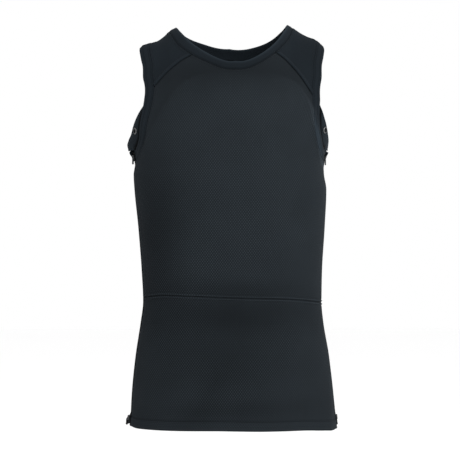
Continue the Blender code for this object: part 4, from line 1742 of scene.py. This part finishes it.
@dataclass
class SnapTab:
    """A cloth tab under an arm, tucked behind the arm band, with a press-stud ring."""

    side: Side
    pattern: Pattern
    drape: Drape
    table: Table
    snap: Pair
    tuck: float = 0.007
    clear: float = 0.0018
    depth: float = 0.0031
    wall: float = 0.0020
    snap_span: float = 0.030
    ring_gap: float = 0.0004
    bright_rim: float = 0.0045
    rim_fade: float = 0.0008
    stitch_inset: float = 0.004
    stitch_shares: Pair = (0.1, 0.88)
    turns: int = 48
    rows: int = 72
    columns: int = 48

    def point(self, share: Array | float, height: Array | float) -> Array:
        """A point by its share of the way from the armhole's edge to the free edge.

        The tucked part has shares below nought. Past the edge the tab leaves the form's
        inner side and comes out in a straight line to its free edge.

        Args:
            share: the share of the way.
            height: the place up.

        Returns:
            The points.
        """
        share, height = np.broadcast_arrays(np.asarray(share, float), np.asarray(height, float))
        whole = self.pattern.armholes[self.side].whole_edge
        low_half = whole[: len(whole) // 2]
        edge = np.interp(height, low_half[:, 2], low_half[:, 1])
        free, stand = self.table.read(height, "free"), self.table.read(height, "stand")
        y = edge + np.where(share < 0, share * self.tuck, share * (free - edge))
        way = np.clip((y - edge - self.clear) / (free - edge - self.clear), 0, 1)
        spot = self.drape.form.from_side(y, height, self.side)
        lift = self.drape.relief(spot) - self.depth + (stand + self.depth) * way
        return spot + self.drape.form.normal(spot) * lift[..., None]

    def cloth(self) -> Cloth:
        """The tab's cloth.

        Returns:
            The cloth.
        """
        heights = np.array(self.table.rows)[:, 0]
        rows = heights.min() + (heights.max() - heights.min()) * crowd(self.rows)
        shares = np.concatenate([[-1, -0.5], crowd(self.columns, 0.5)])
        grid = self.point(shares[None], rows[:, None])
        across, up = np.gradient(grid, axis=1), np.gradient(grid, axis=0)
        normal = unit(np.cross(across, up))
        normal = normal * np.sign(normal[..., :1] * self.side.value)
        surface = Surface(grid, grid, normal, unroll(grid))
        border = (grid[0], grid[-1], grid[:, 0], grid[:, -1])
        parts = [(line, TAB_EDGE) for line in border]
        joins = joins_round(grid, [*parts, (self.point(0.0, rows), TAB_TUCK)])
        return Cloth(self.side.word + "_snap_tab", [surface], self.wall, joins, self.drape)

    def stitch_frames(self, pitch: float) -> tuple[Array, Array, Array]:
        """Where the stitches lie along the tab's free edge and its ends.

        Args:
            pitch: the distance between stitches.

        Returns:
            Centres, directions along the row and directions outwards.
        """
        heights = np.array(self.table.rows)[:, 0]
        low, high = heights.min() + self.stitch_inset, heights.max() - self.stitch_inset
        start, end = self.stitch_shares
        fine, still, step = np.linspace(0, 1, 60), np.zeros(60), 0.001
        way = (end - start) * fine
        share = np.concatenate([start + way, end + still, end - way])
        height = np.concatenate([low + still, low + (high - low) * fine, high + still])
        path = self.point(share, height)
        across = self.point(share + step, height) - path
        out = unit(np.cross(across, self.point(share, height + step) - path))
        out = out * np.sign(out[:, :1] * self.side.value)
        path = path + out * self.wall / 2
        spots = spots_at(path, spaced(path, pitch))
        ahead = pick(path, np.minimum(spots + 0.5, len(path) - 1))
        run = unit(ahead - pick(path, spots - 0.5))
        return pick(path, spots), run, square_to(pick(out, spots), run)

    def ring(self, finish: Material) -> Piece:
        """Turn the press-stud ring about its own axis from a rounded closed profile.

        Args:
            finish: the metal.

        Returns:
            The piece.
        """
        height, share = self.snap

        def by_size(reach: float, place: float) -> Array:
            """A point by its distance from the armhole's edge."""
            return self.point(reach / self.snap_span, place)

        centre, axes = frame_of(by_size, share * self.snap_span, height)
        base = centre + axes[:, 1] * (self.wall / 2 + self.ring_gap)
        profile = np.array(RING_PROFILE)
        turn = np.arange(self.turns) * 2 * math.pi / self.turns
        spin = np.cos(turn)[:, None] * axes[:, 0] + np.sin(turn)[:, None] * axes[:, 2]
        rings = base + profile[:, :1, None] * spin[None] + profile[:, 1:, None] * axes[:, 1]
        at = counted(len(profile), self.turns)
        after, beside = np.roll(at, -1, axis=0), np.roll(at, -1, axis=1)
        both = np.roll(after, -1, axis=1)
        faces = np.stack([at, after, both, beside], axis=-1).reshape(-1, 4)
        corners = rings.reshape(-1, 3)[faces]
        if (across_faces(corners) * corners.mean(axis=1)).sum() < 0:
            faces = faces[:, ::-1]
        name = self.side.word + "_snap_socket"
        piece = new_object(name + "_ring", rings.reshape(-1, 3), faces.tolist(), "steel", finish)
        # The recess mark paints shade inside the ring's bright rim
        recess = smooth_step((self.bright_rim - profile[:, 0]) / self.rim_fade + 0.5)
        mark_points(piece.data, "recess", np.repeat(recess, self.turns))
        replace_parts(piece, name)
        return piece


# A painted highlight on the tab near its borders, and painted shade in its groove
TAB_EDGE = Profile(
    ridges=((0.0014, 0.0012, 0.0002), (0.0040, 0.0008, -0.0003)), shade=1.5, shade_width=0.0090
)
# A painted shadow where the tab goes under the arm band
TAB_TUCK = Profile(shade=0.03, shade_width=0.0094, shade_power=6)

# Distance from the axis and height of the press-stud ring's section, all the way round
RING_PROFILE = (
    (0.0056, 0.0000),
    (0.0056, 0.0008),
    (0.0053, 0.0013),
    (0.0047, 0.0016),
    (0.0040, 0.0016),
    (0.0034, 0.0014),
    (0.0030, 0.0009),
    (0.0027, 0.0006),
    (0.0024, 0.0006),
    (0.0024, 0.0000),
)

RIGHT_TAB = Table(
    "height free stand",
    (
        (-0.1898, 0.000, 0.0104),
        (-0.180, 0.002, 0.0110),
        (-0.172, -0.003, 0.0078),
        (-0.163, -0.012, 0.0030),
        (-0.146, -0.028, -0.0006),
        (-0.129, -0.041, -0.0048),
        (-0.113, -0.053, -0.0090),
    ),
)
LEFT_TAB = Table(
    "height free stand",
    (
        (-0.1898, -0.005, 0.0037),
        (-0.180, -0.006, 0.0030),
        (-0.172, -0.017, 0.0022),
        (-0.163, -0.031, 0.0012),
        (-0.146, -0.045, 0.0005),
        (-0.129, -0.055, 0.0000),
        (-0.115, -0.0590, -0.0031),
    ),
)
SNAP_PLACES = {Side.RIGHT: (-0.1585, 0.50), Side.LEFT: (-0.1565, 0.60)}


class NodeTree:
    """A node tree, with short ways to add nodes to it and join them."""

    def __init__(self, tree: bpy.types.NodeTree) -> None:
        """Keep the tree."""
        self.tree = tree

    def add(self, kind: str, /, *inputs: object, **settings: object) -> bpy.types.Node:
        """Add a node, set its properties and fill its inputs in order.

        Args:
            kind: the node's type, without the words ShaderNode.
            inputs: a socket to join, a value, or None to leave the input alone.
            settings: the node's own properties.

        Returns:
            The node.
        """
        node = self.tree.nodes.new("ShaderNode" + kind)
        for key, value in settings.items():
            setattr(node, key, value)
        for socket, value in zip(node.inputs, inputs):
            if isinstance(value, Socket):
                self.tree.links.new(value, socket)
            elif value is not None:
                socket.default_value = value
        return node

    def maths(self, operation: str, *inputs: object) -> Socket:
        """Add a maths node and return its result."""
        return self.add("Math", *inputs, operation=operation).outputs[0]

    def join(self, source: Socket, target: Socket) -> None:
        """Join two sockets."""
        self.tree.links.new(source, target)


class Paint(NodeTree):
    """A new material, with short ways to work out its colour and feed its shader."""

    def __init__(self, name: str) -> None:
        """Make the material, under its name."""
        self.material = bpy.data.materials.new(name)
        self.material.use_nodes = True
        super().__init__(self.material.node_tree)

    def mark(self, name: str) -> Socket:
        """Read one of the mesh's own marks."""
        return self.add("Attribute", attribute_name=name).outputs["Fac"]

    def noise(self, scale: float, detail: float, rough: float = 0.5) -> Socket:
        """Add noise on the piece's own coordinates."""
        spot = self.add("TexCoord").outputs["Object"]
        return self.add("TexNoise", spot, None, scale, detail, rough).outputs["Fac"]

    def mix(self, low: Colour, high: Colour, share: Socket) -> Socket:
        """Mix two colours by a share that changes over the surface.

        Args:
            low: the colour at nought.
            high: the colour at one.
            share: the share's socket.

        Returns:
            The mixed colour's socket.
        """
        mixed = self.add("Mix", data_type="RGBA")
        mixed.inputs["A"].default_value = (*low, 1)
        mixed.inputs["B"].default_value = (*high, 1)
        self.join(share, mixed.inputs["Factor"])
        return mixed.outputs["Result"]

    def dim(self, colour: Socket, share: Socket) -> Socket:
        """Multiply a colour by a share that changes over the surface.

        Args:
            colour: the colour's socket.
            share: the share's socket.

        Returns:
            The dimmed colour's socket.
        """
        dimmed = self.add("Mix", data_type="RGBA", blend_type="MULTIPLY")
        dimmed.inputs["Factor"].default_value = 1.0
        self.join(colour, dimmed.inputs["A"])
        self.join(self.add("CombineColor", share, share, share).outputs[0], dimmed.inputs["B"])
        return dimmed.outputs["Result"]

    def bump(self, height: Socket, strength: float, depth: float) -> Socket:
        """Turn a height into a normal.

        Args:
            height: the height's socket.
            strength: the share of the bump that shows.
            depth: the size of a height of one.

        Returns:
            The normal's socket.
        """
        bump = self.add("Bump")
        bump.inputs["Strength"].default_value = strength
        bump.inputs["Distance"].default_value = depth
        self.join(height, bump.inputs["Height"])
        return bump.outputs["Normal"]

    def feed(self, values: dict[str, object]) -> Material:
        """Feed the shader and return the material.

        Args:
            values: for each input's name, a socket to join or a constant to set.

        Returns:
            The material.
        """
        shader = self.tree.nodes["Principled BSDF"]
        for name, value in values.items():
            if isinstance(value, Socket):
                self.join(value, shader.inputs[name])
            else:
                shader.inputs[name].default_value = value
        return self.material


def scaled(colour: Colour, share: float) -> Colour:
    """A colour made darker or lighter."""
    return tuple(part * share for part in colour)


def knit_group() -> bpy.types.ShaderNodeTree:
    """The shared knit: crossing diagonal ribs of loops, with uneven yarn and soft mottling.

    Two families of ribs, each a sine of across plus or minus up by their own pitches,
    are multiplied, and a finer row of loops runs along one of them. Noise shifts the
    places a little, so that no rib is ruler-straight.

    Returns:
        The node group, with the inputs Across, Up and Waver and the outputs Height, Yarn
        and Mottle.
    """
    drift_scale, yarn_scale, mottle_scale, loop_share = 130.0, 900.0, 14.0, 0.12
    group = bpy.data.node_groups.new("crossed_knit", "ShaderNodeTree")
    for name, value in (("Across", 0.0040), ("Up", 0.0056), ("Waver", 0.0002)):
        socket = group.interface.new_socket(name, in_out="INPUT", socket_type="NodeSocketFloat")
        socket.default_value = value
    for name in ("Height", "Yarn", "Mottle"):
        group.interface.new_socket(name, in_out="OUTPUT", socket_type="NodeSocketFloat")
    tree = NodeTree(group)
    given = group.nodes.new("NodeGroupInput")
    result = group.nodes.new("NodeGroupOutput")
    place = tree.add("UVMap", uv_map="cloth").outputs[0]
    spot = tree.add("TexCoord").outputs["Object"]
    drift = tree.add("TexNoise", None, None, drift_scale, 2.0).outputs
    tree.join(place, drift[0].node.inputs["Vector"])
    parts = tree.add("SeparateXYZ", place).outputs
    bend = tree.maths("MULTIPLY", tree.maths("SUBTRACT", drift["Fac"], 0.5), given.outputs["Waver"])
    across = tree.maths("ADD", parts["X"], bend)
    wide = tree.maths("DIVIDE", across, given.outputs["Across"])
    high = tree.maths("DIVIDE", parts["Y"], given.outputs["Up"])
    one = tree.maths("MULTIPLY", tree.maths("ADD", wide, high), 2 * math.pi)
    other = tree.maths("MULTIPLY", tree.maths("SUBTRACT", wide, high), 2 * math.pi)
    waves = [tree.maths("SINE", value) for value in (one, other)]
    lifted = [tree.maths("MULTIPLY_ADD", wave, 0.5, 0.5) for wave in waves]
    crossed = tree.maths("MULTIPLY", *lifted)
    loops = tree.maths("SINE", tree.maths("MULTIPLY", one, 2.0))
    height = tree.maths("MULTIPLY_ADD", loops, loop_share, crossed)
    tree.join(height, result.inputs["Height"])
    yarn = tree.add("TexNoise", None, None, yarn_scale, 3.0, 0.6).outputs
    tree.join(place, yarn[0].node.inputs["Vector"])
    tree.join(yarn["Fac"], result.inputs["Yarn"])
    mottle = tree.add("TexNoise", None, None, mottle_scale, 3.0, 0.55).outputs
    tree.join(spot, mottle[0].node.inputs["Vector"])
    tree.join(mottle["Fac"], result.inputs["Mottle"])
    return group


@dataclass(frozen=True)
class KnitFinish:
    """A knit's colours, the size of its loops and how deep they are."""

    name: str
    hollow: Colour
    crest: Colour
    across: float
    up: float
    depth: float
    sheen: float = 0.015
    roughness: float = 0.88
    waver: float = 0.0006
    mean_height: float = 0.3
    mottle: float = 0.36
    yarn_tone: float = 0.5
    yarn_rough: float = 0.12
    yarn_bump: float = 0.35

    def build(self, knit: bpy.types.ShaderNodeTree) -> Material:
        """Build the material.

        Args:
            knit: the shared knit group.

        Returns:
            The material.
        """
        paint = Paint(self.name)
        weave = paint.add("Group", node_tree=knit)
        for name, value in (("Across", self.across), ("Up", self.up), ("Waver", self.waver)):
            weave.inputs[name].default_value = value
        yarn = weave.outputs["Yarn"]
        loops = paint.maths("SUBTRACT", weave.outputs["Height"], self.mean_height)
        loops = paint.maths("MULTIPLY_ADD", loops, paint.mark("loop_depth"), self.mean_height)
        tone = paint.maths("MULTIPLY_ADD", yarn, self.yarn_tone, loops)
        colour = paint.mix(self.hollow, self.crest, paint.maths("SUBTRACT", tone, 0.1))
        mottle, plain = weave.outputs["Mottle"], 1 - self.mottle / 2
        shade = paint.maths("MULTIPLY_ADD", mottle, self.mottle, plain)
        # The seam_shade mark paints light and shade into the colour
        shade = paint.maths("MULTIPLY", shade, paint.mark("seam_shade"))
        least_rough = self.roughness - self.yarn_rough / 2
        height = paint.maths("MULTIPLY_ADD", yarn, self.yarn_bump, loops)
        return paint.feed(
            {
                "Base Color": paint.dim(colour, shade),
                "Roughness": paint.maths("MULTIPLY_ADD", yarn, self.yarn_rough, least_rough),
                "Normal": paint.bump(height, strength=0.8, depth=self.depth),
                "Specular IOR Level": 0.03,
                "Sheen Weight": self.sheen,
                "Sheen Roughness": 0.55,
                "Sheen Tint": (0.62, 0.72, 0.85, 1),
            }
        )


@dataclass(frozen=True)
class ThreadFinish:
    """Sewing thread or nylon: its colour, its roughness and its gloss."""

    name: str
    colour: Colour
    roughness: float
    gloss: float = 0.12
    twist_scale: float = 2200.0

    def build(self) -> Material:
        """Build the material, with fine uneven twists.

        Returns:
            The material.
        """
        paint = Paint(self.name)
        twist = paint.noise(self.twist_scale, detail=2.0)
        dark, light = scaled(self.colour, 0.6), scaled(self.colour, 1.5)
        return paint.feed(
            {
                "Base Color": paint.mix(dark, light, twist),
                "Roughness": paint.maths("MULTIPLY_ADD", twist, 0.2, self.roughness - 0.1),
                "Normal": paint.bump(twist, strength=0.5, depth=0.0001),
                "Specular IOR Level": self.gloss,
            }
        )


@dataclass(frozen=True)
class TapeFinish:
    """Woven zip tape: a fine herringbone of narrow ribs."""

    name: str
    colour: Colour
    pitch: float = 0.0009
    zigzag: float = 0.0016
    gloss: float = 0.1

    def build(self) -> Material:
        """Build the material from the tape's own unrolled places.

        The ribs are a sine of up plus the distance from the nearest of evenly spaced
        lines along the tape.

        Returns:
            The material.
        """
        paint = Paint(self.name)
        place = paint.add("UVMap", uv_map="cloth").outputs[0]
        parts = paint.add("SeparateXYZ", place).outputs
        zigzag = paint.maths("PINGPONG", parts["X"], self.zigzag)
        place = paint.maths("ADD", parts["Y"], zigzag)
        place = paint.maths("MULTIPLY", place, 2 * math.pi / self.pitch)
        rib = paint.maths("MULTIPLY_ADD", paint.maths("SINE", place), 0.5, 0.5)
        dark, light = scaled(self.colour, 0.55), scaled(self.colour, 1.5)
        return paint.feed(
            {
                "Base Color": paint.mix(dark, light, rib),
                "Roughness": paint.maths("MULTIPLY_ADD", rib, -0.15, 0.85),
                "Normal": paint.bump(rib, strength=0.7, depth=0.0002),
                "Specular IOR Level": self.gloss,
            }
        )


@dataclass(frozen=True)
class MetalFinish:
    """Plated metal: its colour, gloss and fine scratches, and painted shade where recess is one."""

    name: str
    colour: Colour
    roughness: float
    wear_scale: float = 700.0
    recess_dark: float = 0.92

    def build(self) -> Material:
        """Build the material, with noise for wear and dull patches, and painted shade in the
        recess.

        Returns:
            The material.
        """
        paint = Paint(self.name)
        wear = paint.noise(self.wear_scale, detail=4.0, rough=0.7)
        colour = paint.mix(scaled(self.colour, 0.78), self.colour, wear)
        # Painted shade in the ring's recess: the colour is darkened where recess is one
        unshaded = paint.maths("MULTIPLY_ADD", paint.mark("recess"), -self.recess_dark, 1.0)
        return paint.feed(
            {
                "Base Color": paint.dim(colour, unshaded),
                "Roughness": paint.maths("MULTIPLY_ADD", wear, 0.25, self.roughness - 0.12),
                "Normal": paint.bump(wear, strength=0.25, depth=0.0001),
                "Metallic": 1.0,
            }
        )


KNIT = KnitFinish(
    "charcoal_knit",
    hollow=(0.0036, 0.0046, 0.0056),
    crest=(0.0168, 0.0213, 0.0252),
    across=0.00415,
    up=0.00567,
    depth=0.00034,
)
SMOOTH_KNIT = KnitFinish(
    "smooth_charcoal_knit",
    hollow=(0.0053, 0.0073, 0.0094),
    crest=(0.0097, 0.0133, 0.0167),
    across=0.0013,
    up=0.0013,
    depth=0.00018,
)
THREAD = ThreadFinish("sewing_thread", (0.0120, 0.0157, 0.0190), 0.7)
NYLON = ThreadFinish("black_nylon", (0.0026, 0.0030, 0.0034), 0.45, 0.10)
TAPE = TapeFinish("black_zip_tape", (0.0030, 0.0035, 0.0040))
STEEL = MetalFinish("nickel_plated_steel", (0.13, 0.134, 0.138), 0.42)
BLACK_METAL = MetalFinish("black_coated_metal", (0.028, 0.031, 0.033), 0.5)
METAL_NODES = ("right_zip_slider", "left_zip_slider", "right_zip_box", "left_zip_box")


@dataclass
class Garment:
    """The whole vest, piece by piece."""

    pattern: Pattern
    drape: Drape
    stitch: Strand = Strand(0.0025, 0.00030, 0.00045)
    stitch_pitch: float = 0.0031

    def __post_init__(self) -> None:
        """Read the creases once for every piece."""
        self.creases = self.pattern.creases()

    def build(self) -> None:
        """Build, sew and dress every piece."""
        weave = knit_group()
        knit, smooth = KNIT.build(weave), SMOOTH_KNIT.build(weave)
        thread, nylon, tape = THREAD.build(), NYLON.build(), TAPE.build()
        steel, black_metal = STEEL.build(), BLACK_METAL.build()
        body, bands = Body(self.pattern, self.drape), Bands(self.pattern, self.drape)
        front, waist = body.panel("front_panel", Face.FRONT)
        back, _ = body.panel("back_panel", Face.BACK)
        knitted = [front, back, body.skirt("front_skirt", waist)]
        smooth_pieces = [bands.neckband()]
        smooth_pieces += [body.yoke(side) for side in Side]
        smooth_pieces += [bands.arm_band(side) for side in Side]
        for cloth in knitted:
            self.sew(cloth, "knit", knit, thread)
        for cloth in smooth_pieces:
            self.sew(cloth, "smooth_knit", smooth, thread)
        for side, table in ((Side.RIGHT, RIGHT_TAB), (Side.LEFT, LEFT_TAB)):
            side_zip = SideZip(side, self.drape)
            side_zip.tape(tape)
            side_zip.teeth(nylon)
            tab = SnapTab(side, self.pattern, self.drape, table, SNAP_PLACES[side])
            self.dress(tab.cloth(), "smooth_knit", smooth)
            frames = tab.stitch_frames(self.stitch_pitch)
            stitches = self.stitch.bundle(*frames)
            new_object(side.word + "_tab_stitches", *stitches, "smooth_knit", thread)
            tab.ring(steel)
        for node in METAL_NODES:
            bpy.data.objects[node].material_slots[0].material = black_metal

    def dress(self, cloth: Cloth, slot: str, finish: Material) -> None:
        """Build a piece of cloth in the place of the node that it stands for.

        Args:
            cloth: the piece, under its node's name.
            slot: not used.
            finish: the material.
        """
        node = cloth.name
        cloth.name = node + "_cloth"
        cloth.creases = self.creases
        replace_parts(cloth.build(slot, finish), node)

    def sew(self, cloth: Cloth, slot: str, finish: Material, thread: Material) -> None:
        """Build a piece of cloth and the stitches that lie in its grooves.

        Args:
            cloth: the piece, under its node's name.
            slot: not used.
            finish: the cloth's material.
            thread: the stitches' material.
        """
        name = cloth.name
        self.dress(cloth, slot, finish)
        rows = [row.frames(self.drape, self.stitch_pitch) for row in cloth.stitches()]
        if rows:
            frames = [np.concatenate(part) for part in zip(*rows)]
            new_object(name + "_stitches", *self.stitch.bundle(*frames), slot, thread)


@dataclass(frozen=True)
class Lamp:
    """One soft light: where it stands, how large it is and how strong."""

    name: str
    place: tuple[float, float, float]
    size: float
    power: float


@dataclass
class Studio:
    """The pale floor, the soft lights and the camera at the photograph's angle."""

    yaw: float = math.radians(-3.5)
    distance: float = 4.0
    target_across: float = -0.0034
    target_height: float = -0.325
    lens: float = 184.1
    floor_height: float = -1.0
    world_light: float = 1.0
    lamps: tuple[Lamp, ...] = (
        Lamp("lamp_right", (1.4, -2.8, 1.3), 1.4, 140.0),
        Lamp("lamp_left", (-2.4, -1.8, 0.8), 1.8, 6.0),
        Lamp("lamp_above", (0.3, -1.6, 2.2), 1.2, 8.0),
    )

    def build(self) -> None:
        """Make the floor, the lights, the plain world and the camera."""
        self.floor()
        for lamp in self.lamps:
            self.light(lamp)
        world = bpy.data.worlds.new("studio")
        world.use_nodes = True
        backdrop = world.node_tree.nodes["Background"]
        backdrop.inputs["Color"].default_value = (1, 1, 1, 1)
        backdrop.inputs["Strength"].default_value = self.world_light
        bpy.context.scene.world = world
        bpy.context.scene.view_settings.view_transform = "Standard"
        self.camera()

    def floor(self) -> None:
        """A large pale floor, below the hanging vest."""
        half = 12.0
        points = np.array([(-half, -half), (half, -half), (half, half), (-half, half)])
        points = np.column_stack([points, np.full(4, self.floor_height)])
        mesh = bpy.data.meshes.new("floor")
        mesh.from_pydata(points.tolist(), [], [[0, 1, 2, 3]])
        material = bpy.data.materials.new("pale_floor")
        material.use_nodes = True
        shader = material.node_tree.nodes["Principled BSDF"]
        shader.inputs["Base Color"].default_value = (0.98, 0.98, 0.98, 1)
        shader.inputs["Roughness"].default_value = 0.9
        mesh.materials.append(material)
        add_object("floor", mesh)

    def light(self, lamp: Lamp) -> None:
        """Add one square soft light that faces the vest.

        Args:
            lamp: the light's place and size.
        """
        data = bpy.data.lights.new(lamp.name, "AREA")
        data.size = lamp.size
        data.energy = lamp.power
        place = Vector(lamp.place)
        piece = add_object(lamp.name, data)
        piece.location = place
        aim = Vector((0, 0, self.target_height)) - place
        piece.rotation_euler = aim.to_track_quat("-Z", "Y").to_euler()

    def camera(self) -> None:
        """Set the camera level, a little to the side of straight ahead."""
        right = Vector((math.cos(self.yaw), math.sin(self.yaw), 0))
        forward = Vector((-math.sin(self.yaw), math.cos(self.yaw), 0))
        target = right * self.target_across + Vector((0, 0, self.target_height))
        data = bpy.data.cameras.new("camera")
        data.lens = self.lens
        data.sensor_width = 36.0
        piece = add_object("camera", data)
        piece.location = target - forward * self.distance
        piece.rotation_euler = forward.to_track_quat("-Z", "Y").to_euler()
        bpy.context.scene.camera = piece


def main() -> None:
    """Build the studio and the vest."""
    logging.basicConfig(level=logging.INFO, format="%(name)s: %(message)s")
    Studio().build()
    pattern = Pattern()
    Garment(pattern, Drape(pattern.form)).build()


if __name__ == "__main__":
    main()
